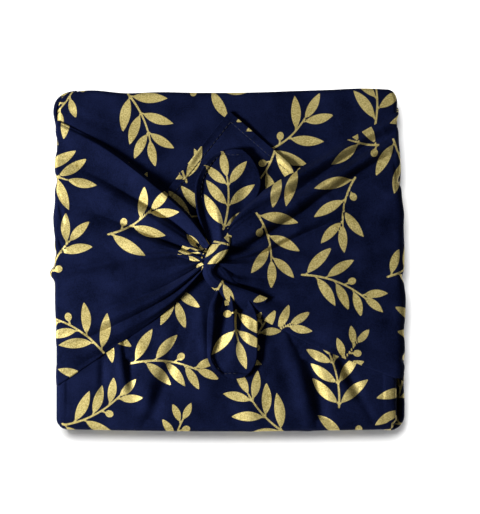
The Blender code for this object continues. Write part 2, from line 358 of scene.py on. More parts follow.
@dataclass(frozen=True)
class TwigShape:
    """A twig along +X from its cut end: leaves at even gaps on both sides, and one at its end."""

    length: float
    bow: float
    limbs: int  # how many leaves and olives stand on its sides
    gap: float  # from one to the next on the same side
    leaf: Pair  # the leaves' length at the cut end and at the tip
    angle: Pair  # their degrees off the stem, there
    paired: bool = False  # whether the two sides' leaves face each other
    olives: tuple[int, ...] = ()  # which of the limbs are olives
    first: float = 0.05  # where on the stem the first limb stands, as a share
    stalks: Pair = (1.5, 5.5)  # of a leaf and of an olive
    spread: float = 1.15  # how much further off the stem an olive leans

    def drawn(self) -> list[tuple[float, float, float, float]]:
        """The share of the stem, degrees to its left, stalk and length of each limb, 0 for an olive.

        Returns:
            Four numbers for each leaf and olive.
        """
        made = [(1.0, 0.0, 0.0, self.leaf[1])]
        for k in range(self.limbs):
            share = self.first + (k // 2 if self.paired else k / 2) * self.gap / self.length
            length = self.leaf[0] * (1 - share) + self.leaf[1] * share
            angle = (self.angle[0] * (1 - share) + self.angle[1] * share) * (1 - 2 * (k % 2))
            olive = (share, self.spread * angle, self.stalks[1], 0.0)
            made.append(olive if k in self.olives else (share, angle, self.stalks[0], length))
        return made


class Twig(Enum):
    """The printed twigs, each drawn by one rule and repeated over the cloth."""

    GARLAND = TwigShape(42, 3.5, 7, 12.5, (23, 15), (50, 40), olives=(4,))
    PAIRS = TwigShape(33, -2, 6, 13, (23, 17), (48, 42), paired=True)
    SPRAY = TwigShape(31, 2.5, 5, 13.5, (25, 18), (46, 44), olives=(1,))
    LADDER = TwigShape(40, -3, 8, 10, (17, 12), (56, 46), olives=(3, 6))
    TUFT = TwigShape(19, 1, 4, 11, (24, 19), (62, 44), paired=True, olives=(0,))


@dataclass(frozen=True)
class Sprig:
    """One twig put on the cloth: its cut end at (x, y), heading so many degrees."""

    twig: Twig
    x: float
    y: float
    heading: float
    flip: bool = False

    def placed(self, px: float, py: float) -> Pair:
        """A point of the drawing, on the cloth.

        Args:
            px: how far it is along the twig.
            py: how far it is to the twig's left.

        Returns:
            x and y on the cloth.
        """
        c, s = np.cos(np.radians(self.heading)), np.sin(np.radians(self.heading))
        py = -py if self.flip else py
        return float(self.x + px * c - py * s), float(self.y + px * s + py * c)

    def marks(self) -> list[Any]:
        """The twig's stems, leaves and olives, turned and moved into place.

        Returns:
            The marks, each with a distance of its own.
        """
        shape, side = self.twig.value, -1 if self.flip else 1
        drawn = Stem((0, 0), (shape.length / 2, shape.bow), (shape.length, 0))
        made: list[Any] = [Stem(*(self.placed(*p) for p in (drawn.start, drawn.middle, drawn.end)))]
        for share, angle, stalk, length in shape.drawn():
            near = drawn.place(np.array([share - 0.02, share, share + 0.02]))
            way = np.degrees(np.arctan2(*(near[2] - near[0])[::-1])) + angle
            c, s = np.cos(np.radians(way)), np.sin(np.radians(way))
            foot, base = self.placed(*near[1]), self.placed(near[1][0] + stalk * c, near[1][1] + stalk * s)
            points = self.heading + side * way
            if stalk:
                half = (foot[0] + base[0]) / 2, (foot[1] + base[1]) / 2
                made.append(Stem(foot, half, base, STALK_HALF))
            made.append(Leaf(*base, points, length, LEAF_BEND * side) if length else Berry(*base, points))
        return made


class Print:
    """The ink on one panel of the cloth."""

    def __init__(self, *sprigs: Sprig) -> None:
        """Gathers the marks of the given twigs."""
        self.marks = [mark for sprig in sprigs for mark in sprig.marks()]

    def distance(self, places: Array) -> Array:
        """How far each place is from the ink: the least of all the marks' distances.

        Args:
            places: places on the cloth in millimetres, x and y first along the last axis.

        Returns:
            The distance in millimetres, under 0 on the ink and at most FAR.
        """
        x, y = places[..., 0].ravel(), places[..., 1].ravel()
        ink = np.full(x.shape, FAR)
        for mark in self.marks:
            near = np.flatnonzero((abs(x - mark.x) < mark.reach) & (abs(y - mark.y) < mark.reach))
            if len(near):
                ink[near] = np.minimum(ink[near], mark.distance(x[near], y[near]))
        return ink.reshape(places.shape[:-1])


def tossed(low: Pair, high: Pair, turn: float, bare: Triple = (0.0, 0.0, 0.0)) -> Print:
    """Twigs tossed on a half-drop repeat, each turned by the golden angle from its neighbours.

    Args:
        low: the lowest corner of the cloth to cover.
        high: its highest corner.
        turn: degrees by which all the twigs are turned.
        bare: the middle and the radius of a place where no twig stands.

    Returns:
        The print.
    """
    kinds = tuple(Twig)
    made = []
    for i in range(int((high[0] - low[0]) / PITCH[0]) + 2):
        for j in range(int((high[1] - low[1]) / PITCH[1]) + 2):
            number = STRIDE[0] * i + STRIDE[1] * j
            twig, heading = kinds[number % len(kinds)], turn + GOLDEN_ANGLE * number
            x = low[0] + i * PITCH[0] + TOSS * np.sin(TOSS_TURNS[0] * number)
            y = low[1] + (j + 0.5 * (i % 2)) * PITCH[1] + TOSS * np.cos(TOSS_TURNS[1] * number)
            if np.hypot(x - bare[0], y - bare[1]) < bare[2]:
                continue
            back = (twig.value.length + twig.value.leaf[1]) / 2
            c, s = np.cos(np.radians(heading)), np.sin(np.radians(heading))
            made.append(Sprig(twig, float(x - back * c), float(y - back * s), heading, bool(j % 2)))
    return Print(*made)


# Materials ----------------------------------------------------------------------------------------------


class Value:
    """A number that varies over the surface. Python's operators on it add Math nodes."""

    def __init__(self, tree: Any, socket: Any) -> None:
        """Wraps an output socket of a node tree."""
        self.tree, self.socket = tree, socket

    def math(self, operation: str, *others: Any, clamp: bool = False) -> "Value":
        """This value and others through one Math node.

        Args:
            operation: the node's operation.
            others: the further inputs, values or numbers.
            clamp: holds the result between 0 and 1.

        Returns:
            The node's result.
        """
        node = self.tree.nodes.new("ShaderNodeMath")
        node.operation, node.use_clamp = operation, clamp
        for put, given in zip(node.inputs, (self, *others)):
            if isinstance(given, Value):
                self.tree.links.new(given.socket, put)
            else:
                put.default_value = given
        return Value(self.tree, node.outputs[0])

    def __add__(self, other: Any) -> "Value":
        """This value plus another."""
        return self.math("ADD", other)

    def __sub__(self, other: Any) -> "Value":
        """This value less another."""
        return self.math("SUBTRACT", other)

    def __rsub__(self, other: float) -> "Value":
        """A number less this value."""
        return self.math("MULTIPLY_ADD", -1.0, other)

    def __mul__(self, other: Any) -> "Value":
        """This value times another."""
        return self.math("MULTIPLY", other)

    __radd__ = __add__
    __rmul__ = __mul__

    def held(self) -> "Value":
        """This value, held between 0 and 1."""
        return self.math("ADD", 0.0, clamp=True)


class Shader:
    """A material's node tree, with a Principled shader at its end."""

    def __init__(self, name: str) -> None:
        """Makes the material and keeps its tree.

        Args:
            name: the material's name.
        """
        self.material = bpy.data.materials.new(name)
        self.material.use_nodes = True
        self.tree = self.material.node_tree
        self.end = self.tree.nodes["Principled BSDF"]

    def node(self, kind: str, settings: dict[str, Any], inputs: dict[Any, Any]) -> Any:
        """Any node.

        Args:
            kind: the node's type, without ShaderNode.
            settings: its own settings, set first.
            inputs: values or links for its sockets, by name or number.

        Returns:
            The node.
        """
        made = self.tree.nodes.new("ShaderNode" + kind)
        for key, setting in settings.items():
            setattr(made, key, setting)
        for key, given in inputs.items():
            self.put(made.inputs[key], given)
        return made

    def put(self, socket: Any, given: Any) -> None:
        """Links a value or socket to an input, or sets the input's own number.

        Args:
            socket: the input.
            given: what goes into it.
        """
        if isinstance(given, Value):
            self.tree.links.new(given.socket, socket)
        elif isinstance(given, bpy.types.NodeSocket):
            self.tree.links.new(given, socket)
        else:
            socket.default_value = given

    def value(self, socket: Any) -> Value:
        """An output socket as a value."""
        return Value(self.tree, socket)

    def mix(self, share: Any, a: Any, b: Any) -> Any:
        """A colour between two colours.

        Args:
            share: 0 gives the first, 1 the second.
            a: a colour or a socket.
            b: a colour or a socket.

        Returns:
            The colour's socket.
        """
        node = self.tree.nodes.new("ShaderNodeMix")
        node.data_type = "RGBA"
        for socket, given in zip((node.inputs[0], node.inputs[6], node.inputs[7]), (share, a, b)):
            self.put(socket, given)
        return node.outputs[2]

    def noise(self, place: Any, scale: float, detail: float = 2.0) -> Value:
        """Blender's noise from 0 to 1 at a place."""
        settings, inputs = {"noise_dimensions": "3D"}, {"Vector": place, "Scale": scale, "Detail": detail}
        return self.value(self.node("TexNoise", settings, inputs).outputs[0])

    def place(self) -> Any:
        """Where each point is, on the object's own coordinates."""
        return self.node("TexCoord", {}, {}).outputs["Object"]

    def bump(self, strength: float, distance: float, height: Value) -> Any:
        """A normal that follows a height, which is so many metres where it is 1."""
        inputs = {"Strength": strength, "Distance": distance, "Height": height}
        return self.node("Bump", {}, inputs).outputs[0]

    def surface(self, inputs: dict[str, Any]) -> Any:
        """Fills the Principled shader's inputs.

        Args:
            inputs: values, links, colours or numbers, by the input's name.

        Returns:
            The finished material.
        """
        for name, given in inputs.items():
            self.put(self.end.inputs[name], given)
        return self.material


Rgb = tuple[float, float, float, float]


@dataclass(frozen=True)
class PrintedCotton:
    """Navy plain-weave cotton with a matt gold leaf print."""

    ground: Rgb = (0.0005, 0.0015, 0.0090, 1)
    # the paler navy of the random mottling, which the painted highlight on the threads' crests also reaches
    ground_pale: Rgb = (0.0084, 0.0132, 0.0520, 1)
    gold: Rgb = (0.22, 0.165, 0.036, 1)
    gold_pale: Rgb = (0.67, 0.565, 0.24, 1)
    ground_rough: float = 0.86
    gold_rough: float = 0.5
    gold_metal: float = 0.35
    weave: float = 0.46  # pitch of two neighbouring threads, in millimetres
    relief: float = 0.00016  # height of a thread, in metres
    relief_strength: float = 0.55
    slub: Triple = (260.0, 2600.0, 1.0)  # the slubs' scale: long one way and fine the other
    fleck: float = 1400.0  # scale of the finest mottling
    cloud: float = 60.0  # scale of the broadest
    ragged: float = 0.22  # how far the ink's edge wanders, in millimetres
    crisp: float = -7.0  # how fast the ink ends at its edge
    sheen: float = 0.008
    sheen_rough: float = 0.45
    sheen_tint: Rgb = (0.55, 0.62, 1.0, 1)
    gloss: float = 0.03

    def material(self) -> Any:
        """The cloth's material.

        The ink is where the attribute "ink", a distance in millimetres, is under 0, with its edge made a
        little ragged by noise. The weave is the product of two sines across the piece's own map, which is
        in metres of cloth. It paints a little shade between the threads and a paler tone on their crests into
        the navy's colour, and lifts them in a bump that the ink half fills.

        Returns:
            The material.
        """
        sh = Shader("printed_cotton")
        place = sh.place()
        cloth = sh.node("UVMap", {"uv_map": "cloth"}, {}).outputs[0]
        split = sh.node("SeparateXYZ", {}, {0: cloth})
        turns = 2 * np.pi / (self.weave * MM)
        warp, weft = (sh.value(split.outputs[k]).math("MULTIPLY", turns).math("SINE") for k in (0, 1))
        thread = (warp * weft) * 0.5 + 0.5
        slub = sh.noise(sh.node("Mapping", {}, {0: cloth, 3: self.slub}).outputs[0], 1.0)
        fleck, cloud = sh.noise(place, self.fleck, 4.0), sh.noise(place, self.cloud, 5.0)
        edge = sh.value(sh.node("Attribute", {"attribute_name": "ink"}, {}).outputs["Fac"])
        ink = ((edge + (fleck - 0.5) * self.ragged + 0.1) * self.crisp + 0.5).held()
        # the navy's random mottling, plus painted shade and highlight of the weave from the thread term
        mottle_and_thread_shade = (cloud * 1.1 + fleck * 1.1 + slub * 0.3 + thread * 0.2 - 1.0).held()
        grain = (fleck * 2.2 + cloud * 0.7 - 0.95).held()
        navy, gold = sh.mix(mottle_and_thread_shade, self.ground, self.ground_pale), sh.mix(grain, self.gold, self.gold_pale)
        rough = ink * (self.gold_rough - self.ground_rough) + self.ground_rough
        height = thread * (1 - ink * 0.55) + slub * 0.5 + ink * 0.35 + fleck * 0.25
        return sh.surface({
            "Base Color": sh.mix(ink, navy, gold),
            "Roughness": rough + (fleck - 0.5) * 0.12,
            "Metallic": ink * self.gold_metal,
            "Normal": sh.bump(self.relief_strength, self.relief, height),
            "Sheen Weight": self.sheen,
            "Sheen Roughness": self.sheen_rough,
            "Sheen Tint": self.sheen_tint,
            "Specular IOR Level": self.gloss,
        })


@dataclass(frozen=True)
class SewingThread:
    """Spun thread: fine twisted strands along each stitch."""

    name: str
    colour: Rgb
    # the darker colour of the twist's bands: painted shade in the grooves between the strands
    shade: Rgb
    twist: float = 2600.0  # scale of the strands
    relief: float = 0.0001  # height of a strand, in metres

    def material(self) -> Any:
        """The thread's material: a twist of slanting bands across the stitch, in bump, and in colour as
        painted shade in the grooves between the strands.

        Returns:
            The material.
        """
        sh = Shader(self.name)
        wave = {"Vector": sh.place(), "Scale": self.twist, "Distortion": 1.5, "Detail": 1.0}
        twist = sh.value(sh.node("TexWave", {"bands_direction": "DIAGONAL"}, wave).outputs["Fac"])
        return sh.surface({
            # the bands' darker colour is painted shade between the strands
            "Base Color": sh.mix(twist, self.shade, self.colour),
            "Roughness": twist * -0.15 + 0.8,
            "Normal": sh.bump(0.5, self.relief, twist),
        })


@dataclass(frozen=True)
class PaleFloor:
    """A plain white studio floor."""

    colour: Rgb = (0.93, 0.93, 0.93, 1)
    mottled: Rgb = (0.95, 0.95, 0.95, 1)
    mottling: float = 3.0  # its scale
    rough: float = 0.9

    def material(self) -> Any:
        """The floor's material, with the faintest mottling.

        Returns:
            The material.
        """
        sh = Shader("pale_floor")
        cloud = sh.noise(sh.place(), self.mottling)
        return sh.surface({"Base Color": sh.mix(cloud, self.colour, self.mottled), "Roughness": self.rough})


# Meshes -------------------------------------------------------------------------------------------------


def quads_of(rows: int, columns: int, around: bool = False) -> Array:
    """The four corner numbers of each face of a grid.

    Args:
        rows: how many rows of points.
        columns: how many points in a row.
        around: joins each row's last point to its first.

    Returns:
        One line of four numbers a face.
    """
    i, j = np.meshgrid(np.arange(rows - 1), np.arange(columns if around else columns - 1), indexing="ij")
    k = (j + 1) % columns
    row, after = i * columns, (i + 1) * columns
    return np.stack([row + j, row + k, after + k, after + j], -1).reshape(-1, 4)


def facing(points: Array, quads: Array) -> Array:
    """Which way each face looks: the cross product of its two sides at its first corner."""
    a, b, d = (points[quads[:, k]] for k in (0, 1, 3))
    return np.cross(b - a, d - a)


@dataclass
class Panel:
    """A surface of cloth ready to become a mesh, in millimetres."""

    name: str
    points: Array  # one line a point
    quads: Array
    ink: Array  # the distance from the ink, for each point
    cloth: Array  # where each point lies on the flat cloth, two numbers on its last axis

    def mesh(self) -> Any:
        """The panel as a mesh in metres over the footprint.

        Returns:
            The mesh, smooth, with its map "cloth" in metres and its attribute "ink" in millimetres.
        """
        places = (self.points + np.array(SHIFT)) * MM
        made = bpy.data.meshes.new(self.name)
        made.vertices.add(len(places))
        made.vertices.foreach_set("co", places.astype(np.float32).ravel())
        made.loops.add(self.quads.size)
        made.loops.foreach_set("vertex_index", self.quads.astype(np.int32).ravel())
        made.polygons.add(len(self.quads))
        made.polygons.foreach_set("loop_start", np.arange(0, self.quads.size, 4, dtype=np.int32))
        made.update(calc_edges=True)
        made.validate()
        made.shade_smooth()
        flat = made.uv_layers.new(name="cloth")
        cloth = self.cloth.reshape(-1, 2) * MM
        flat.data.foreach_set("uv", cloth[self.quads.ravel()].astype(np.float32).ravel())
        ink = made.attributes.new("ink", "FLOAT", "POINT")
        ink.data.foreach_set("value", self.ink.astype(np.float32).ravel())
        return made

    def piece(self, material: Any) -> Any:
        """The panel as an object that rides on the parcel and stands for the plain cloth.

        Args:
            material: its finish.

        Returns:
            The object.
        """
        made = bpy.data.objects.new(self.name, self.mesh())
        bpy.context.scene.collection.objects.link(made)
        made.data.materials.append(material)
        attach(made, "root")
        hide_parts(NODE)
        log.info("%s: %d faces", self.name, len(self.quads))
        return made


def panel_of(name: str, points: Array, ink: Array, cloth: Array, rolled: bool = False) -> Panel:
    """A panel from a grid of points, with its faces turned to the outside.

    Args:
        name: the piece's name.
        points: rows by columns by three. Unless it is rolled, its first part is seen from above.
        ink: rows by columns.
        cloth: rows by columns by two.
        rolled: each row runs round a strand.

    Returns:
        The panel.
    """
    rows, columns = points.shape[:2]
    quads = quads_of(rows, columns)
    flat = points.reshape(-1, 3)
    normal = facing(flat, quads)
    if rolled:
        middle = points.mean(axis=1)[quads[:, 0] // columns]
        outward = ((flat[quads[:, 0]] - middle) * normal).sum()
    else:
        outward = normal[: len(normal) * 2 // 3, 2].sum()
    return Panel(name, flat, quads if outward >= 0 else quads[:, ::-1], ink, cloth)


def turned_under(points: Array, radius: float, steps: int, tuck: float) -> Array:
    """A grid whose first and last columns are carried on round a half circle and back under the cloth.

    At each end of a row the cloth goes outward by r sin(a) and down its normal by r (1 - cos(a)), with a
    from 0 to 180 degrees, and then back inward by the tuck.

    Args:
        points: rows by columns by three.
        radius: the turn's radius.
        steps: columns in each turn.
        tuck: how far the edge runs back under.

    Returns:
        The wider grid, with steps + 1 columns more at each side.
    """
    normal = grid_normals(points)
    angles = np.linspace(0, np.pi, steps + 1)[1:]
    sides = []
    for edge, inner in ((0, 3), (-1, -4)):
        base = points[:, edge]
        down = normal[:, inner]
        out = base - points[:, inner]
        out = unit(out - (out * down).sum(-1, keepdims=True) * down)
        turn = [base + out * radius * np.sin(a) - down * radius * (1 - np.cos(a)) for a in angles]
        turn.append(turn[-1] - out * tuck)
        sides.append(np.stack(turn, axis=1))
    return np.concatenate([sides[0][:, ::-1], points, sides[1]], axis=1)


def widened(values: Array, extra: int) -> Array:
    """A grid of values whose first and last columns are repeated, to go with an edge turned under."""
    first, last = values[:, :1], values[:, -1:]
    return np.concatenate([np.repeat(first, extra, 1), values, np.repeat(last, extra, 1)], axis=1)


def arc_map(points: Array) -> Array:
    """A map of a grid on the flat cloth: along each row from its middle, and down the middle column.

    Args:
        points: rows by columns by three.

    Returns:
        Rows by columns by two, in millimetres.
    """
    across = along_arc(points, 1)
    middle = points.shape[1] // 2
    across = across - across[:, middle : middle + 1]
    down = along_arc(points, 0)[:, middle : middle + 1]
    return np.stack([across, np.broadcast_to(down, across.shape)], -1)


def edged_panel(
    name: str, grid: Array, ink: Array, radius: float, steps: int = 4, tuck: float = 1.5, cloth: Any = None
) -> Panel:
    """A panel whose two side edges are turned under.

    Args:
        name: the piece's name.
        grid: rows by columns by three, seen from above at its start.
        ink: rows by columns.
        radius: the radius of the turned edges.
        steps: columns in each turn.
        tuck: how far the edges run back under.
        cloth: its map on the flat cloth. None measures one along the finished grid.

    Returns:
        The panel.
    """
    full = turned_under(grid, radius, steps, tuck)
    cloth = arc_map(full) if cloth is None else widened(cloth, steps + 1)
    return panel_of(name, full, widened(ink, steps + 1), cloth)


# The cloth ----------------------------------------------------------------------------------------------


@dataclass
class Slab:
    """The wrapped parcel's soft-edged block, in millimetres."""

    left: float = -108.2
    right: float = 105.7
    front: float = -105.4
    back: float = 107.6
    top: float = 45.0
    corner: float = 6.0
    edge: float = 2.6
    foot: float = 1.6
    bow: float = 1.4  # how far its front and back walls bow
    wobble: tuple[float, ...] = (-1.8, 0.6, -0.8, 0.2, 0.0, 0.0, 0.3, 0.9, 1.3, 1.8, 0.6)  # of its back wall
    wobble_reach: float = 30.0  # how far in front of the back wall the wobble begins

    def grown(self, by: float) -> "Slab":
        """The same block with a layer of cloth on its top and sides."""
        wider = {size: getattr(self, size) + by for size in ("right", "back", "top", "corner", "edge")}
        return replace(self, left=self.left - by, front=self.front - by, **wider)

    def inset(self, x: Array, y: Array) -> Array:
        """How far inside the square outline a place is."""
        sides = (x - self.left, self.right - x, y - self.front, self.back - y)
        return np.minimum.reduce(sides)

    def plan(self, x: Array, y: Array) -> tuple[Array, Array, Array, Array]:
        """A square place moved onto the block with its round corners and bowed walls.

        In a corner's square a place p, q from the corner's centre goes to the circle of radius max(p, q), at
        an angle that grows evenly along the square's side. Then Y drops by the bow times a half sine, and
        follows the back wall's wobble near it.

        Args:
            x: places in the square outline.
            y: places in the square outline.

        Returns:
            x, y, and the outward direction of the nearest wall as x and y.
        """
        mx, my = (self.left + self.right) / 2, (self.front + self.back) / 2
        hx, hy = (self.right - self.left) / 2 - self.corner, (self.back - self.front) / 2 - self.corner
        dx, dy = x - mx, y - my
        p, q = np.maximum(abs(dx) - hx, 0), np.maximum(abs(dy) - hy, 0)
        most, least = np.maximum(p, q), np.minimum(p, q)
        turn = np.pi / 4 * least / np.maximum(most, 1e-9)
        turn = np.where(p >= q, turn, np.pi / 2 - turn)
        both = (p > 0) & (q > 0)
        px = np.where(both, most * np.cos(turn), p)
        qy = np.where(both, most * np.sin(turn), q)
        nx, ny = np.sign(dx) * np.cos(turn) * (p > 0), np.sign(dy) * np.sin(turn) * (q > 0)
        out_x = mx + np.sign(dx) * (np.minimum(abs(dx), hx) + px)
        out_y = my + np.sign(dy) * (np.minimum(abs(dy), hy) + qy)
        share = np.clip((x - self.left) / (self.right - self.left), 0, 1)
        places = np.linspace(0, 1, 100)
        near_back = ease((y - self.back + self.wobble_reach) / self.wobble_reach)
        wobble = np.interp(share, places, smooth_along(self.wobble, len(places))) * near_back
        return out_x, out_y - self.bow * np.sin(np.pi * share) + wobble, nx, ny

    def drop(self, inset: Array, radius: float) -> Array:
        """How far a soft rim has fallen at an inset from the outline: r - sqrt(r^2 - (r - inset)^2)."""
        near = np.clip(radius - inset, 0, radius)
        return radius - np.sqrt(radius**2 - near**2)


def rim_lines(low: float, high: float, step: float, rim: float, coarse_to: float = -1e9) -> Array:
    """Grid lines from low to high, close together in the soft rims and wider apart up to a place.

    Args:
        low: the first line.
        high: the last line.
        step: the pitch between the rims.
        rim: the width of a rim.
        coarse_to: up to here the pitch is 1.7 times as wide.

    Returns:
        The places of the lines.
    """
    turn = rim * (1 - np.cos(np.linspace(0, np.pi / 2, 6)))[:-1]
    split = float(np.clip(coarse_to, low + rim, high - rim))
    wide = np.linspace(low + rim, split, max(1, int((split - low - rim) / step / 1.7)) + 1)[:-1]
    even = np.linspace(split, high - rim, max(2, int((high - rim - split) / step)) + 1)
    return np.concatenate([low + turn, wide if split > low + rim else [], even, high - turn[::-1]])


@dataclass
class Wrap:
    """The cloth round the parcel: the back flap on top, the four sides and the underside."""

    slab: Slab
    step: float = 0.78  # the pitch of its grid
    under_step: float = 1.15  # and of the underside's
    wall_rows: int = 34
    slack: tuple[Layer, ...] = ((24, 0.22, 3), (9, 0.08, 4))
    open_to: float = -56.0  # in front of this nothing of the back flap reaches under the front one
    open_rim: float = 4.0
    coarse_to: float = -12.0  # up to here the grid is coarser
    slack_rim: float = 8.0  # over this width inside the rim the slack sets in
    side_slack: Layer = (21, 0.9, 5)
    under_foot: Pair = (1.02, 1.05)  # the last rows, which turn in under the foot, as shares of the way down
    tuck: float = 60.0  # how fast they turn in
    least_height: float = 0.25
    under_gap: float = 0.5  # from the underside's rim to the sides
    under_height: float = 0.05  # of the underside over the floor
    creases: tuple[Crease, ...] = (
        Crease((-104, 96), (-70, 82), -0.7, 3.0),
        Crease((-96, 100), (-40, 66), 0.5, 6.0),
        Crease((24, 70), (70, 88), -0.6, 5.0),
        Crease((60, 96), (102, 98), 0.5, 4.0),
        Crease((-50, 60), (-12, 40), -0.8, 4.0),
    )

    def ink(self) -> Print:
        """The print on the back flap and the sides."""
        return tossed((-150, -150), (150, 150), 255)

    def sides(self, gx: Array, gy: Array) -> tuple[Array, Array]:
        """The four sides: the top's outline, carried down in even rows and in under the foot.

        Soft noise keeps them from lying flat, most of all half way down.

        Args:
            gx: the top's grid in the square outline.
            gy: the top's grid in the square outline.

        Returns:
            Rows by places round the outline by three, and where each point lies on the flat cloth.
        """
        s = self.slab
        m, n = gx.shape
        i, j = np.arange(m - 1), np.arange(n - 1)
        loop_i = np.concatenate([i, np.full(n - 1, m - 1), i[::-1] + 1, np.zeros(n - 1, int)])
        loop_j = np.concatenate([np.zeros(m - 1, int), j, np.full(m - 1, n - 1), j[::-1] + 1])
        x, y = gx[loop_i, loop_j], gy[loop_i, loop_j]
        px, py, nx, ny = s.plan(x, y)
        down = np.concatenate([np.linspace(0, 1, self.wall_rows), self.under_foot])[:, None]
        z = np.maximum((s.top - s.edge) * (1 - down) + s.foot * down, self.least_height)
        length = along_arc(np.stack([px, py, 0 * px], -1)[None], 1)
        slack = uneven(length + 0 * down, z + 0 * length, self.side_slack)
        out = slack * np.sin(np.pi * np.minimum(down, 1)) - np.maximum(down - 1, 0) * self.tuck
        fall = s.top - z
        z = z + 0 * nx
        return np.stack([px + nx * out, py + ny * out, z], -1), np.stack([x + nx * fall, y + ny * fall], -1)

    def hidden(self, places: Array) -> Array:
        """Which faces of the back flap the front flap hides, by their middles on the flat cloth.

        Args:
            places: the faces' middles.

        Returns:
            Whether each is hidden.
        """
        s, rim = self.slab, self.open_rim
        x, y = places[:, 0], places[:, 1]
        return (y < self.open_to) & (y > s.front + rim) & (x > s.left + rim) & (x < s.right - rim)

    def panel(self) -> Panel:
        """The back flap and the sides as two grids that share a rim.

        The top is the square outline's grid, dropped at the rim by the slab's soft edge.

        Returns:
            The panel, without the faces that the front flap hides.
        """
        s = self.slab
        x = rim_lines(s.left, s.right, self.step, s.edge)
        y = rim_lines(s.front, s.back, self.step, s.edge, self.coarse_to)
        gx, gy = np.meshgrid(x, y, indexing="ij")
        px, py, _, _ = s.plan(gx, gy)
        inset = s.inset(gx, gy)
        slack = uneven(gx, gy, *self.slack) + creased(gx, gy, self.creases)
        over = np.stack([px, py, s.top - s.drop(inset, s.edge) + slack * ease(inset / self.slack_rim)], -1)
        sides, sides_plan = self.sides(gx, gy)
        points = np.concatenate([over.reshape(-1, 3), sides.reshape(-1, 3)])
        plans = np.concatenate([np.stack([gx, gy], -1).reshape(-1, 2), sides_plan.reshape(-1, 2)])
        base = quads_of(*gx.shape)
        base = base[~self.hidden(plans[base].mean(axis=1))]
        quads = np.concatenate([base, quads_of(*sides.shape[:2], around=True) + gx.size])
        _, first, where = np.unique(np.round(points, 4), axis=0, return_index=True, return_inverse=True)
        points, plans = points[first], plans[first]
        quads = self.outward(points, where.ravel()[quads], len(base))
        return Panel("wrap", points, quads, self.ink().distance(plans), plans)

    def underside(self) -> Panel:
        """The cloth under the parcel: the outline's grid, dropped at its rim, where it meets the sides.

        Returns:
            The panel, facing down.
        """
        gap = self.under_gap
        s = replace(self.slab, left=self.slab.left + gap, right=self.slab.right - gap)
        x = rim_lines(s.left, s.right, self.under_step, s.foot)
        y = rim_lines(s.front + gap, s.back - gap, self.under_step, s.foot)
        gx, gy = np.meshgrid(x, y, indexing="ij")
        px, py, _, _ = s.plan(gx, gy)
        z = s.drop(s.inset(gx, gy), s.foot) + self.under_height
        quads = quads_of(*gx.shape)
        points = np.stack([px, py, z], -1).reshape(-1, 3)
        if facing(points, quads)[:, 2].sum() > 0:
            quads = quads[:, ::-1]
        plan = np.stack([gx, gy], -1)
        return Panel("underside", points, quads, tossed((-115, -115), (115, 115), 10).distance(plan), plan)

    def outward(self, points: Array, quads: Array, tops: int) -> Array:
        """Turns the two grids' faces away from the slab's middle, each grid as a whole.

        Args:
            points: the wrap's points.
            quads: the faces of the top, then those of the sides.
            tops: how many belong to the top.

        Returns:
            The faces.
        """
        centre = np.array([(self.slab.left + self.slab.right) / 2, 0, self.slab.top / 2])
        made = []
        for part in np.split(quads, [tops]):
            away = (facing(points, part) * (points[part[:, 0]] - centre)).sum()
            made.append(part if away > 0 else part[:, ::-1])
        return np.concatenate(made)

    def build(self, cotton: Any) -> list[Any]:
        """The wrap's two pieces.

        Args:
            cotton: the cloth's finish.

        Returns:
            The two pieces.
        """
        piece, under = self.panel().piece(cotton), self.underside().piece(cotton)
        return [piece, under]


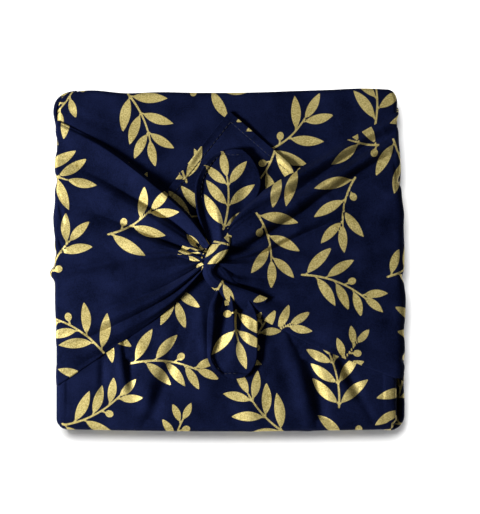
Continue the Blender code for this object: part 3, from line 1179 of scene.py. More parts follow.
@dataclass
class FrontFlap:
    """The corner that lies over the back flap, hemmed along its two edges, and the front wall below it."""

    slab: Slab
    tip: Pair = FLAP_TIP
    left_way: Pair = (-0.62, -0.785)  # the direction of its left edge from the tip
    right_way: Pair = (0.755, -0.656)
    columns: int = 270
    rows: int = 250
    wall_rows: int = 44
    cloth: float = 0.75  # how far it lies over the wrap
    clearance: float = 0.35  # the least that it may lie over the wrap
    open_to: float = -60.0  # in front of this it may sink into the wrap's opening
    slack: tuple[Layer, ...] = ((17, 0.24, 8), (7, 0.07, 9))
    tip_lift: float = 0.9
    tip_share: float = 0.22  # the share of its length over which the tip is lifted
    hem: float = 4.3
    hem_step: float = 0.5
    edge_turn: float = 0.5
    blunt: float = 0.6  # how far the tip is cut back
    margin_left: float = 0.4
    margin_right: float = 1.9
    sewn_to: float = -30.0  # the stitches that show end here
    wall_slack: Layer = (19, 0.8, 12)
    groove: float = 0.22  # how deep the stitches pull the cloth in
    creases: tuple[Crease, ...] = (
        Crease((34, -46), (51, -110), 2.0, 5.0, 3),
        Crease((43, -46), (61, -112), -3.0, 4.4, 3),
        Crease((36, -38), (42, -53), -1.6, 1.8),
        Crease((61, -54), (77, -88), 1.2, 4.0),
        Crease((67, -54), (84, -88), -2.2, 3.4),
        Crease((80, -80), (94, -106), -0.9, 2.6),
        Crease((-70, -46), (-65, -84), 1.6, 3.2),
        Crease((-65, -44), (-61, -82), -2.6, 3.0),
        Crease((-79, -58), (-80, -84), -1.8, 2.6),
        Crease((-54, -50), (-50, -96), 1.4, 5.0),
        Crease((-25, -34), (-54, -112), -2.2, 4.4),
        Crease((-36, -38), (-60, -108), 1.2, 5.0),
        Crease((-18, -24), (-15, -64), 1.7, 3.0),
        Crease((-6, -80), (8, -108), -0.7, 4.0),
        Crease((14, -74), (16, -124), 0.9, 6.0),
        Crease((24, -34), (34, -108), 0.8, 5.0),
        Crease((31, 66), (44, 54), 2.2, 3.2),
        Crease((-6, 88), (-25, 60), 1.0, 2.2),
        Crease((-22, 62), (-8, 84), -0.5, 1.6),
        Crease((5, 80), (34, 52), -0.5, 2.4),
        Crease((-6, 80), (-32, 48), -0.7, 2.2),
    )

    def ink(self) -> Print:
        """The print on the flap and on the front wall."""
        return tossed((-128, -160), (128, 112), 60)

    def lift(self, x: Array, y: Array, along: Array) -> Array:
        """The cloth's height over the slab's surface: its own thickness, the tip's lift and the creases."""
        tip = np.maximum(0, 1 - along / self.tip_share) ** 2 * self.tip_lift
        return self.cloth + 0.15 + tip + creased(x, y, self.creases) + uneven(x, y, *self.slack)

    def least(self, y: Array, inset: Array) -> Array:
        """The least height at which the flap clears the wrap: lower where the wrap is left open under it."""
        return self.clearance - 4.5 * ease((inset - 6) / 5) * ease((self.open_to - y) / 5)

    def hemmed(self, gx: Array, gy: Array, low: Array, high: Array, down: Array, front: float) -> Array:
        """What the hem adds to the flap's height: a doubled edge, and a groove along the stitch line.

        Args:
            gx: places across the flap.
            gy: places along it.
            low: where its left edge is on each row.
            high: where its right edge is.
            down: how far each row is from the tip.
            front: where the front wall begins.

        Returns:
            The height at each place.
        """
        across = np.minimum((gx - low) * -self.left_way[1], (high - gx) * -self.right_way[1])
        free = ease((down - 2) / 6) * ease((gy - front) / 12)
        doubled = self.hem_step * (1 - ease((across - self.hem) / 0.7)) * free * ease((gy + 100) / 20)
        pull = -self.groove * np.exp(-(((across - self.hem - 0.35) / 0.5) ** 2)) * free
        return doubled + pull

    def wall(self, last: Array, nx: Array, ny: Array) -> Array:
        """The front wall below the flap: its last row carried down to the foot, with slack and creases.

        Args:
            last: the flap's last row.
            nx: the outward direction of the wall along that row, in X.
            ny: the same in Y.

        Returns:
            Rows by columns by three.
        """
        foot = np.linspace(0, 1, self.wall_rows)[1:, None]
        z = last[:, 2] * (1 - foot) + self.slab.foot * foot
        out = uneven(last[:, 0] + 0 * foot, z, self.wall_slack) * np.sin(np.pi * foot)
        out = out + creased(last[:, 0], last[:, 1] + 8, self.creases) * (1 - foot) * 0.3
        return np.stack([last[:, 0] + nx * out, last[:, 1] + ny * out, z], -1)

    def panel(self) -> tuple[Panel, Array]:
        """The flap as a grid from its tip to the foot of the front wall.

        A row runs between the flap's two edges, and rows go from the tip to the bowed front outline, then
        down the wall. The rim's drop and the corners are the slab's own, grown by the cloth. Within a hem's
        width of an edge the cloth is doubled, with a soft step at the stitch line.

        Returns:
            The panel, and its grid of points before the edges are turned under.
        """
        s = self.slab.grown(self.cloth)
        reach = self.tip[1] - s.front
        rim = s.edge / reach
        turn = rim * (1 - np.cos(np.linspace(np.pi / 2, 0, 9)))[1:]
        along = np.concatenate([np.linspace(0, 1 - rim, self.rows), 1 - turn])[:, None]
        down = reach * along + self.blunt
        left, right = self.left_way[0] / -self.left_way[1], self.right_way[0] / -self.right_way[1]
        low = np.maximum(self.tip[0] + down * left, s.left + self.margin_left)
        high = np.minimum(self.tip[0] + down * right, s.right - self.margin_right)
        gx = low + (high - low) * np.linspace(0, 1, self.columns)[None]
        gy = np.maximum(self.tip[1] + self.blunt - down + 0 * gx, s.front)
        inset = s.inset(gx, gy)
        px, py, nx, ny = s.plan(gx, gy)
        py = py + (gy - py) * ease((gy + 90) / 60) * (inset > 0)
        height = self.lift(gx, gy, along) + self.hemmed(gx, gy, low, high, down, s.front)
        height = np.maximum(height, self.least(gy, inset)) * (0.35 + 0.65 * ease(inset / 6))
        grid = np.stack([px, py, self.slab.top - s.drop(inset, s.edge) + height], -1)
        wall = self.wall(grid[-1], nx[-1], ny[-1])
        fall = grid[-1][:, 2] - wall[..., 2]
        wall_plan = np.stack([gx[-1] + nx[-1] * fall, gy[-1] + ny[-1] * fall], -1)
        plan = np.concatenate([np.stack([gx, gy], -1), wall_plan])
        grid = np.concatenate([grid, wall])
        return edged_panel("front_flap", grid, self.ink().distance(plan), self.edge_turn, cloth=plan), grid

    def seams(self, grid: Array) -> list[Array]:
        """The stitch lines: along the inner sides of the two hems, on the part that the wings leave bare.

        Args:
            grid: the flap's points, rows from its tip.

        Returns:
            Points along each of the two lines.
        """
        rows = np.arange(6, self.rows)
        y, low, high = grid[rows, 0, 1], grid[rows, 0, 0], grid[rows, -1, 0]
        inner = self.hem + 0.15
        lines = []
        for line in (low + inner / -self.left_way[1], high - inner / -self.right_way[1]):
            share = np.clip((line - low) / (high - low), 0, 1) * (self.columns - 1)
            i = np.clip(share.astype(int), 0, self.columns - 2)
            f = (share - i)[:, None]
            use = (y > self.sewn_to) & (high - low > 2.4 * inner)
            lines.append((grid[rows, i] * (1 - f) + grid[rows, i + 1] * f)[use])
        return lines

    def build(self, cotton: Any, thread: Any) -> list[Any]:
        """The flap and its stitching.

        Args:
            cotton: the cloth's finish.
            thread: the stitching's finish.

        Returns:
            The flap and its stitches.
        """
        panel, grid = self.panel()
        piece = panel.piece(cotton)
        stitches = Seam("flap_stitches").build(self.seams(grid), thread)
        return [piece, stitches]


class Side(Enum):
    """Which side edge a wing rises from."""

    LEFT = -1
    RIGHT = 1


@dataclass(frozen=True)
class Fold:
    """One line of a wing from the knot over the top to the side edge, in millimetres.

    Crests and hollows take turns between the wing's two edges, so every second line is a crest.
    """

    knot: Triple  # x, y, and height over the slab where it leaves the knot
    near: Triple
    far: Triple
    side: Triple
    off_top: float  # how far it stands off the side wall at the wall's top
    off_low: float


LEFT_FOLDS = (
    Fold((-14.5, -4.5, 3.0), (-36.5, -29.0, 2.2), (-75.0, -55.5, 1.4), (-107.5, -77.5, 0.7), 0.4, 1.3),
    Fold((-14.8, -4.0, 8.6), (-37.6, -26.2, 5.8), (-77.0, -49.5, 4.6), (-107.5, -68.0, 2.2), 0.8, 1.2),
    Fold((-15.2, -3.2, 5.8), (-39.2, -23.4, 3.0), (-78.0, -43.4, 1.8), (-107.5, -57.0, 1.0), 0.4, 0.8),
    Fold((-15.6, -2.4, 9.6), (-40.4, -20.4, 7.4), (-79.0, -38.2, 5.2), (-107.5, -51.0, 2.4), 0.8, 1.0),
    Fold((-16.0, -1.4, 5.4), (-42.0, -16.6, 1.8), (-79.6, -31.6, 1.5), (-107.5, -43.0, 1.0), 0.4, 0.8),
    Fold((-16.4, -0.2, 10.2), (-43.2, -8.4, 7.4), (-82.0, -15.0, 5.4), (-107.5, -22.0, 3.0), 1.2, 1.2),
    Fold((-16.5, 1.0, 6.4), (-43.8, 4.6, 2.8), (-82.0, -3.6, 2.9), (-107.5, -8.8, 2.2), 0.9, 1.0),
    Fold((-16.3, 2.2, 10.0), (-43.2, 9.0, 6.0), (-79.0, 19.5, 3.4), (-107.5, 18.0, 1.8), 2.0, 1.6),
    Fold((-16.0, 3.4, 6.2), (-41.2, 13.6, 1.8), (-77.0, 27.4, 1.4), (-107.5, 38.0, 1.0), 1.2, 1.2),
    Fold((-15.6, 4.6, 10.4), (-39.6, 20.4, 6.8), (-77.4, 43.2, 4.2), (-107.5, 57.0, 2.0), 1.4, 1.2),
    Fold((-15.0, 6.4, 5.6), (-37.8, 26.4, 1.8), (-76.6, 49.6, 1.4), (-107.5, 66.0, 0.9), 1.0, 1.0),
    Fold((-12.4, 9.8, 11.0), (-31.0, 33.0, 8.2), (-74.2, 67.6, 4.2), (-107.5, 85.0, 1.8), 0.6, 2.2),
    Fold((-11.3, 11.3, 4.4), (-30.0, 34.5, 2.6), (-73.5, 70.0, 1.2), (-107.5, 87.6, 0.6), 0.4, 2.6),
)
RIGHT_FOLDS = (
    Fold((-13.6, -10.8, 3.2), (6.0, -28.0, 2.6), (56.0, -53.5, 1.4), (105.0, -73.0, 0.8), 4.0, 6.0),
    Fold((-14.0, -9.0, 8.0), (8.0, -23.4, 5.8), (57.0, -44.0, 3.6), (105.0, -64.0, 2.0), 5.0, 5.6),
    Fold((-14.0, -7.0, 5.0), (11.0, -18.6, 1.6), (57.0, -25.5, 1.7), (105.0, -44.0, 1.6), 4.6, 4.6),
    Fold((-13.8, -5.2, 9.6), (12.2, -14.0, 5.0), (57.0, -16.5, 3.0), (105.0, -25.0, 2.2), 5.4, 4.0),
    Fold((-13.2, -3.4, 7.0), (13.0, -9.6, 3.6), (57.0, -9.4, 1.8), (105.0, -12.0, 1.6), 4.2, 3.2),
    Fold((-12.2, -1.4, 10.4), (14.0, -2.5, 7.2), (56.0, 2.0, 5.0), (105.0, 4.0, 2.8), 4.6, 3.2),
    Fold((-11.0, 0.4, 7.4), (15.0, 2.8, 3.6), (55.0, 19.4, 1.4), (105.0, 36.0, 1.2), 3.2, 2.6),
    Fold((-9.8, 1.8, 10.2), (15.2, 5.6, 6.4), (54.0, 24.8, 5.0), (105.0, 50.0, 2.4), 2.6, 2.2),
    Fold((-8.2, 3.4, 10.4), (15.4, 9.2, 2.0), (54.0, 34.4, 1.2), (105.0, 68.0, 0.9), 1.8, 1.8),
    Fold((-5.8, 7.6, 11.0), (14.0, 18.6, 10.4), (53.6, 43.4, 9.0), (105.0, 75.6, 5.0), 1.0, 1.4),
    Fold((-4.2, 12.5, 9.8), (14.4, 28.0, 7.0), (55.0, 51.4, 2.2), (105.0, 82.0, 0.9), 0.8, 1.2),
    Fold((-3.4, 17.0, 8.2), (14.8, 35.0, 8.8), (55.8, 60.0, 8.4), (105.0, 89.0, 3.6), 0.6, 1.0),
    Fold((-3.2, 20.0, 4.6), (15.0, 39.5, 3.0), (56.0, 65.5, 1.4), (105.0, 93.0, 0.6), 0.3, 0.9),
)


@dataclass
class Wing:
    """A side corner of the cloth, which rises over the side edge and is gathered into the knot."""

    name: str
    side: Side
    slab: Slab
    folds: tuple[Fold, ...]
    ink: Print
    area: float  # of its flat cloth, in square metres
    under: float  # how steeply the front flap's edge falls under it
    creases: tuple[Crease, ...] = ()
    bulges: tuple[Triple, ...] = ()  # y along the side edge, how far out, how wide
    rows: int = 150
    turn_rows: int = 9
    wall_rows: int = 44
    per_fold: int = 20
    wall_low: float = 0.6
    corner_gap: float = 5.0
    foot: float = 0.5
    foot_stand: float = 0.7
    stand: float = 0.5
    edge_turn: float = 0.9
    tight: float = 1.0  # 1 keeps the hollows tight, 0 opens them fully
    slack: tuple[Layer, ...] = ((15, 0.45, 31), (6, 0.12, 32))
    wall_slack: tuple[Layer, Layer] = ((14, 0.7, 41), (8, 0.3, 42))
    gather: float = 0.8  # height of the pleats at the knot
    drift: Layer = (9, 2.2, 21)  # how their phase wanders
    dive: float = 4.0  # how far the first row goes down into the knot
    least: float = 1.1  # its least height over the slab
    flap: float = 0.8  # what the front flap under it adds to that

    def fill(self, values: Array) -> Array:
        """Columns between neighbouring folds, along the last axis but one.

        The plan goes evenly from fold to fold. The last value, a height, goes as 1 - cos from a crest and as
        sin from a hollow or an edge, so that crests are round and hollows are tight. It is mixed with an
        even easing, which opens the hollows.

        Args:
            values: rows by folds by values.

        Returns:
            Rows by columns by values.
        """
        share = np.arange(self.per_fold) / self.per_fold
        columns = []
        for i in range(len(self.folds) - 1):
            tight = 1 - np.cos(np.pi / 2 * share) if i % 2 else np.sin(np.pi / 2 * share)
            bent = tight * self.tight + ease(share) * (1 - self.tight)
            a, b = values[:, i, None], values[:, i + 1, None]
            filled = a + (b - a) * share[None, :, None]
            filled[..., -1] = a[..., -1] + (b[..., -1] - a[..., -1]) * bent[None]
            columns.append(filled)
        columns.append(values[:, -1:])
        return np.concatenate(columns, axis=1)

    def gathers(self, t: Array, c: Array) -> Array:
        """Small pleats that fan out of the knot and die away towards the side edge.

        Waves across the folds, with their phase carried about by soft noise, and finer ones on them. Their
        height falls as (1 - t)^3 from the knot.

        Args:
            t: the share of the way from the knot to the side edge.
            c: the column, counted in folds.

        Returns:
            The lift, in millimetres.
        """
        drift = uneven(t * 26 + 0 * c, c * 6 + 0 * t, self.drift)
        wave = np.sin(2 * np.pi * (c * 0.8 + 0.3) + drift)
        fine = np.sin(2 * np.pi * (c * 1.9 + 0.7) + 1.7 * drift) * 0.3
        return (wave + fine) * (1 - t) ** 3 * ease(t / 0.05) * self.gather

    def top(self) -> Array:
        """The part that lies over the slab, rows from the knot to the side edge.

        Returns:
            Rows by columns by three.
        """
        lines = np.array([(f.knot, f.near, f.far, f.side) for f in self.folds], float)
        grid = self.fill(smooth_along(lines.transpose(1, 0, 2), self.rows))
        t = np.linspace(0, 1, self.rows)[:, None]
        c = np.linspace(0, len(self.folds) - 1, grid.shape[1])[None]
        x, y = grid[..., 0], grid[..., 1]
        rim = ease(c / 0.35) * ease((len(self.folds) - 1 - c) / 0.35)
        slack = uneven(x, y, *self.slack) * ease(t / 0.2)
        grid[..., 2] += (self.gathers(t, c) + slack + creased(x, y, self.creases)) * rim
        over_flap = ease((FLAP_TIP[1] + 6 - self.under * abs(x) - y) / 6)
        grid[..., 2] = self.slab.top + np.maximum(grid[..., 2], self.least + self.flap * over_flap)
        return grid

    def panel(self) -> Panel:
        """The wing as a grid: over the top, round the side edge and down the wall to its foot.

        Round the edge a point swings through a quarter turn, out to where it stands off the wall. Down the
        wall the stand-off eases to its low value, draws in at the foot, and the columns spread towards the
        slab's corners. A row before the first dives into the knot.

        Returns:
            The panel.
        """
        s, side = self.slab, self.side.value
        top = self.top()
        edge = top[-1]
        off = self.fill(np.array([[(f.off_top, f.off_low) for f in self.folds]], float).transpose(2, 1, 0))
        off_top, off_low = off[0, :, 0], off[1, :, 0]
        for y, out, width in self.bulges:
            more = out * np.exp(-(((edge[:, 1] - y) / width) ** 2))
            off_top, off_low = off_top + more, off_low + more * 0.6
        wall = s.left if side < 0 else s.right
        shoulder = s.top - s.edge
        angle = np.radians(np.linspace(0, 90, self.turn_rows + 1)[1:])[:, None]
        turn_x = edge[:, 0] + (wall + side * (off_top + self.stand) - edge[:, 0]) * np.sin(angle)
        turn_z = shoulder + (edge[:, 2] - shoulder) * np.cos(angle)
        turned = np.stack([turn_x, edge[:, 1] + 0 * turn_x, turn_z], -1)
        down = np.linspace(0, 1, self.wall_rows)[1:, None]
        stand = off_top + (off_low - off_top) * np.minimum(1, down / self.wall_low) + self.stand
        stand -= (stand - self.foot_stand) * np.maximum(0, (down - self.wall_low) / (1 - self.wall_low)) ** 2
        foot_y = np.linspace(s.front + self.corner_gap, s.back - self.corner_gap, len(edge))
        wall_y = edge[:, 1] + (foot_y - edge[:, 1]) * down
        wall_z = shoulder + (self.foot - shoulder) * down + 0 * wall_y
        broad, fine = self.wall_slack
        ripple = uneven(wall_y, wall_z, broad) + uneven(wall_y * 1.6, wall_z * 0.5, fine)
        stand = stand + ripple * np.sin(np.pi * down)
        walls = np.stack([wall + side * np.maximum(stand, 0.5), wall_y, wall_z], -1)
        dive = top[:1] - np.array([0, 0, self.dive])
        grid = np.concatenate([dive, top, turned, walls])
        plan = np.concatenate([top[:1], top, turned, walls])[..., :2].copy()
        first = len(top)
        beyond = along_arc(grid[first:], 0)
        plan[first:, :, 0] = edge[:, 0] + side * beyond
        plan[first:, :, 1] = grid[first:, :, 1]
        return edged_panel(self.name, grid, self.ink.distance(plan), self.edge_turn)

    def build(self, cotton: Any) -> Any:
        """The wing's piece.

        Args:
            cotton: the cloth's finish.

        Returns:
            The piece.
        """
        piece = self.panel().piece(cotton)
        return piece


def left_wing(slab: Slab) -> Wing:
    """The left wing, with its own print and creases. Its middle is left bare.

    Args:
        slab: the parcel's block.

    Returns:
        The wing.
    """
    ink = tossed((-150, -112), (10, 112), 180, bare=(-45.0, -12.0, 27.0))
    creases = (
        Crease((-113, -8.8), (-56, 2.4), -1.8, 1.5, 0.8, True),
        Crease((-110, -13.5), (-58, -4), 1.2, 3.0, 1.0),
        Crease((-60, 1.0), (-22, 5.0), -1.2, 1.5),
        Crease((-108, 44), (-104, 22), -0.9, 1.2),
        Crease((-109, 18), (-103, 4), -0.8, 1.1),
        Crease((-103, 30), (-84, 34), -0.7, 2.4),
        Crease((-104, 17), (-86, 12), -0.7, 2.4),
        Crease((-106, 60), (-84, 48), -0.6, 3.0),
        Crease((-100, -26), (-76, -22), -0.6, 3.0),
    )
    bulges = (
        (-8.0, 3.6, 3.4), (28.0, 0.5, 5.0), (14.0, -0.8, 5.0), (5.0, -1.2, 3.0), (51.0, -1.6, 4.0),
        (73.0, -1.8, 5.0), (-60.0, -0.8, 9.0), (-94.0, 1.2, 6.0),
    )
    return Wing("left_wing", Side.LEFT, slab, LEFT_FOLDS, ink, 0.0225, 1.27, creases, bulges, tight=0.8)


def right_wing(slab: Slab) -> Wing:
    """The right wing, with its own print and creases.

    Args:
        slab: the parcel's block.

    Returns:
        The wing.
    """
    ink = tossed((-22, -112), (150, 112), 45)
    creases = (
        Crease((10, -9.8), (100, -12), -0.9, 1.3, 0.4),
        Crease((7, 7), (50, 32), -2.4, 1.8, -0.6),
        Crease((46, 31), (102, 67), -2.6, 4.6, 0.6),
        Crease((62, 48), (100, 74), 1.6, 3.8),
        Crease((40, 43), (98, 80), -2.0, 4.2),
        Crease((58, 26), (104, 44), -1.2, 4.0, 0.6),
        Crease((30, 9.4), (66, 24), -1.0, 1.4, 0.4),
        Crease((-8, -12.4), (36, -23), -2.4, 2.2, -1.0),
        Crease((6, -13), (60, -13), -1.4, 4.0),
        Crease((30, 3), (100, -4), 0.8, 5.0, -2.0),
        Crease((78, 22), (104, 36), -0.9, 4.0),
        Crease((84, -46), (108, -52), -0.7, 3.0),
        Crease((103, 74), (107.4, 22), -1.1, 1.1, 0.8),
        Crease((106, 40), (109, 4), -0.9, 1.1, -0.6),
        Crease((96, 22), (112, 24), -0.8, 2.4),
        Crease((92, 46), (112, 40), 0.8, 3.0),
        Crease((90, 4), (112, 6), -0.6, 2.6),
    )
    bulges = (
        (30.0, 0.9, 6.0), (-9.4, -1.6, 3.0), (-44.0, -0.4, 6.0), (-62.0, -1.8, 3.0), (51.0, -2.2, 3.4),
        (87.0, -1.6, 3.0), (94.0, 0.8, 2.4),
    )
    return Wing("right_wing", Side.RIGHT, slab, RIGHT_FOLDS, ink, 0.0245, 0.87, creases, bulges, tight=0.4)


@dataclass(frozen=True)
class Section:
    """A cross section of a strand of gathered cloth, in millimetres."""

    x: float
    y: float
    top: float  # height over the slab
    width: float
    thick: float


@dataclass
class Strand:
    """A strand of the half knot: cloth gathered into a flattened roll with pleats along it."""

    name: str
    slab: Slab
    sections: tuple[Section, ...]
    ink: Print
    flat: Pair
    rows: int = 110
    sides: int = 132
    square: float = 0.8  # under 1 brings its section near to a soft rectangle
    pleats: int = 3
    depth: float = 0.17  # of a pleat's groove, as a share of its thickness
    tilt: float = 0.0  # how far its right side is raised, seen along its path

    def panel(self) -> Panel:
        """The strand as a sheet rolled round its path.

        A row is an ellipse whose sine and cosine are raised to the power "square", so that it comes near to
        a soft rectangle. On its upper side |cos| of the angle times the pleats cuts grooves, which wander
        along the strand, and finer ones lie between them. The row starts under the strand and goes on a
        little past its start, where it runs inside.

        Returns:
            The panel, open at both ends.
        """
        rows = smooth_along([astuple(section) for section in self.sections], self.rows)
        way = unit(np.gradient(rows[:, :2], axis=0))
        a = np.radians(np.linspace(-95, 285, self.sides))[None]
        t = np.linspace(0, 1, self.rows)[:, None]
        wander = 0.35 * np.sin(2 * np.pi * t * 1.1 + 0.6) + 0.2 * np.sin(2 * np.pi * t * 2.3)
        groove = 1 - np.abs(np.cos(self.pleats * a + wander)) ** 0.55
        fine = 1 - np.abs(np.cos(self.pleats * 2.4 * a - 2 * wander)) ** 0.7
        upper = ease((np.sin(a) + 0.1) / 0.5)
        cut = 1 - (self.depth * groove + 0.05 * fine) * upper
        inside = 1 - 0.12 * ease((np.degrees(a) - 258) / 20)
        wide = rows[:, 3:4] / 2 * np.sign(np.cos(a)) * np.abs(np.cos(a)) ** self.square
        wide = wide * (1 + 0.03 * np.sin(9 * t + 3 * a))
        high = rows[:, 4:5] / 2 * (np.sign(np.sin(a)) * np.abs(np.sin(a)) ** self.square * cut * inside - 1)
        x = rows[:, 0:1] + way[:, 1:2] * wide
        y = rows[:, 1:2] - way[:, 0:1] * wide
        z = self.slab.top + rows[:, 2:3] + high + self.tilt * wide * upper
        points = np.stack([x, y, z], -1)
        ink = np.where(np.sin(a) < -0.2, FAR, self.ink.distance(points))  # none shows below
        turn = along_arc(points, 1)
        down = along_arc(rows[None, :, :3], 1)[0][:, None] + 0 * turn
        return panel_of(self.name, points, ink, np.stack([turn, down], -1), rolled=True)

    def build(self, cotton: Any) -> Any:
        """The strand's piece.

        Args:
            cotton: the cloth's finish.

        Returns:
            The piece.
        """
        piece = self.panel().piece(cotton)
        return piece


OVER_STRAND = (
    Section(21.0, -29.8, 3.6, 15.0, 3.0),
    Section(11.4, -25.2, 5.8, 13.4, 4.6),
    Section(2.6, -20.8, 7.4, 11.0, 5.8),
    Section(-5.2, -16.0, 8.8, 8.8, 6.6),
    Section(-11.2, -10.6, 10.2, 7.4, 7.8),
    Section(-13.0, -5.0, 11.4, 7.6, 8.6),
    Section(-10.8, 0.8, 12.6, 9.4, 9.2),
    Section(-7.2, 6.0, 13.2, 11.0, 9.0),
    Section(-4.6, 11.6, 12.0, 10.8, 7.6),
    Section(-4.2, 17.0, 8.4, 9.4, 5.0),
    Section(-4.4, 23.0, 5.4, 8.0, 2.6),
)
UNDER_STRAND = (
    Section(-29.5, 9.0, 4.8, 17.0, 6.0),
    Section(-20.0, 3.8, 8.4, 14.5, 8.8),
    Section(-13.0, -1.0, 9.6, 13.2, 9.4),
    Section(-6.3, -7.2, 8.6, 13.2, 8.8),
    Section(-1.3, -14.5, 6.8, 14.0, 7.0),
    Section(1.9, -21.5, 4.2, 16.0, 4.4),
    Section(3.1, -27.0, 2.6, 18.0, 2.6),
)


def strands(slab: Slab) -> tuple[Strand, Strand]:
    """The strand that passes under, and the one that rises over it.

    Args:
        slab: the parcel's block.

    Returns:
        The two strands.
    """
    under_ink = tossed((-60, -60), (40, 40), 40)
    over_ink = tossed((-60, -60), (60, 60), 200)
    under = Strand("under_strand", slab, UNDER_STRAND, under_ink, (0.04, 0.048))
    over = Strand("over_strand", slab, OVER_STRAND, over_ink, (0.035, 0.064), pleats=2, depth=0.09, tilt=0.28)
    return under, over


BACK_LEFT_TUCK = (
    Section(-96.0, 105.4, -1.4, 5.0, 12.0),
    Section(-103.0, 103.8, 0.0, 5.0, 16.0),
    Section(-107.6, 100.2, 0.4, 4.6, 18.0),
    Section(-109.4, 94.6, -0.2, 3.6, 18.0),
    Section(-109.0, 88.6, -1.6, 2.8, 18.0),
    Section(-108.0, 82.0, -3.6, 2.4, 16.0),
)
BACK_RIGHT_TUCK = (
    Section(93.0, 106.4, -1.0, 4.4, 12.0),
    Section(100.6, 106.0, -0.3, 4.4, 16.0),
    Section(104.2, 102.8, -0.4, 3.8, 18.0),
    Section(104.8, 96.4, -1.4, 3.0, 18.0),
    Section(104.4, 89.0, -3.0, 2.4, 16.0),
)
FRONT_RIGHT_TUCK = (
    Section(105.6, -60.0, -2.6, 4.4, 12.0),
    Section(107.6, -70.0, -4.0, 5.4, 20.0),
    Section(108.8, -82.0, -5.4, 5.2, 26.0),
    Section(109.2, -93.0, -7.0, 5.2, 28.0),
    Section(108.4, -101.0, -8.0, 5.4, 30.0),
    Section(104.0, -105.6, -9.4, 4.4, 30.0),
    Section(97.0, -106.0, -11.0, 3.0, 28.0),
)


def tucks(slab: Slab) -> tuple[Strand, ...]:
    """The rolls of slack cloth at the two back corners and the front right one.

    Args:
        slab: the parcel's block.

    Returns:
        The three rolls.
    """
    front_ink = tossed((60, -130), (140, -40), 120)
    left = Strand("back_left_tuck", slab, BACK_LEFT_TUCK, Print(), (0.045, 0.03), 70, 72, depth=0.04)
    right = Strand("back_right_tuck", slab, BACK_RIGHT_TUCK, Print(), (0.045, 0.024), 70, 72, depth=0.04)
    front = Strand("front_right_tuck", slab, FRONT_RIGHT_TUCK, front_ink, (0.06, 0.055), 70, 72, depth=0.05)
    return left, right, front


@dataclass
class Tail:
    """A loose end of the cloth beyond the knot: a hemmed lobe with folds along it, in millimetres."""

    name: str
    slab: Slab
    ribs: tuple[tuple[Triple, ...], ...]  # lines across it: x, y and height over the slab, from its left edge
    ink: Print
    flat: Pair
    area: float
    hemmed_from: float  # the share of its length from which its left edge shows its hem
    creases: tuple[Crease, ...] = ()
    rows: int = 150
    columns: int = 110
    hem: float = 3.6
    hem_step: float = 0.9
    edge_turn: float = 0.75
    least: float = 1.9  # its least height over the slab, to clear the front flap
    slack: Layer = (8, 0.25, 51)
    groove: float = 0.6  # how deep the stitches pull the cloth in
    end_drop: float = 1.2  # how far its end is turned down
    turn_steps: int = 5
    tuck: float = 2.5  # how far its side edges run back under

    def grid(self) -> Array:
        """The tail's upper side, rows from its neck to its end.

        Each rib is read at even steps along a smooth curve through its places, and the ribs at even steps
        along the tail. A hem's width from the hemmed edges the cloth steps down by the hem's thickness.

        Returns:
            Rows by columns by three.
        """
        along = smooth_along(self.ribs, self.rows)
        grid = smooth_along(along.transpose(1, 0, 2), self.columns).transpose(1, 0, 2)
        x, y = grid[..., 0], grid[..., 1]
        grid[..., 2] += creased(x, y, self.creases) + uneven(x, y, self.slack)
        near = self.to_edge(grid)
        hemmed = ease((np.linspace(0, 1, self.rows) - self.hemmed_from) / 0.08)[:, None]
        grid[..., 2] += self.hem_step * (1 - ease((near - self.hem) / 0.7)) * hemmed
        grid[..., 2] -= self.groove * np.exp(-(((near - self.hem - 0.3) / 0.6) ** 2)) * hemmed
        grid[..., 2] = self.slab.top + np.maximum(grid[..., 2], self.least)
        return grid

    def to_edge(self, grid: Array) -> Array:
        """How far each point is from the left edge or from the end, along the cloth."""
        down = along_arc(grid, 0)
        return np.minimum(along_arc(grid, 1), (down[-1:] - down) * 0.9 + 0.4)

    def seams(self, grid: Array) -> list[Array]:
        """The stitch lines: down the hemmed part of the left edge, and round the end.

        Args:
            grid: the tail's points, rows from its neck.

        Returns:
            Points along each of the two lines.
        """
        across, down = along_arc(grid, 1), along_arc(grid, 0)
        inner = self.hem + 0.15
        left = down[-1:] - down
        rows = np.arange(int(self.rows * self.hemmed_from), self.rows)
        column = (across[rows] < inner).sum(axis=1).clip(0, self.columns - 1)
        use = left[rows, column] > inner
        columns = np.arange(2, self.columns - 8)
        row = (left[:, columns] > inner).sum(axis=0).clip(0, self.rows - 1)
        clear = across[row, columns] > inner
        return [grid[rows[use], column[use]], grid[row[clear], columns[clear]]]

    def build(self, cotton: Any, thread: Any) -> list[Any]:
        """The tail and its stitching.

        Args:
            cotton: the cloth's finish.
            thread: the stitching's finish.

        Returns:
            The tail and its stitches.
        """
        grid = self.grid()
        seams = self.seams(grid)
        grid = np.concatenate([grid, grid[-1:] - [0.0, 0.0, self.end_drop]])
        ink = self.ink.distance(grid)
        piece = edged_panel(self.name, grid, ink, self.edge_turn, self.turn_steps, self.tuck).piece(cotton)
        stitches = Seam(self.name + "_stitches").build(seams, thread)
        return [piece, stitches]


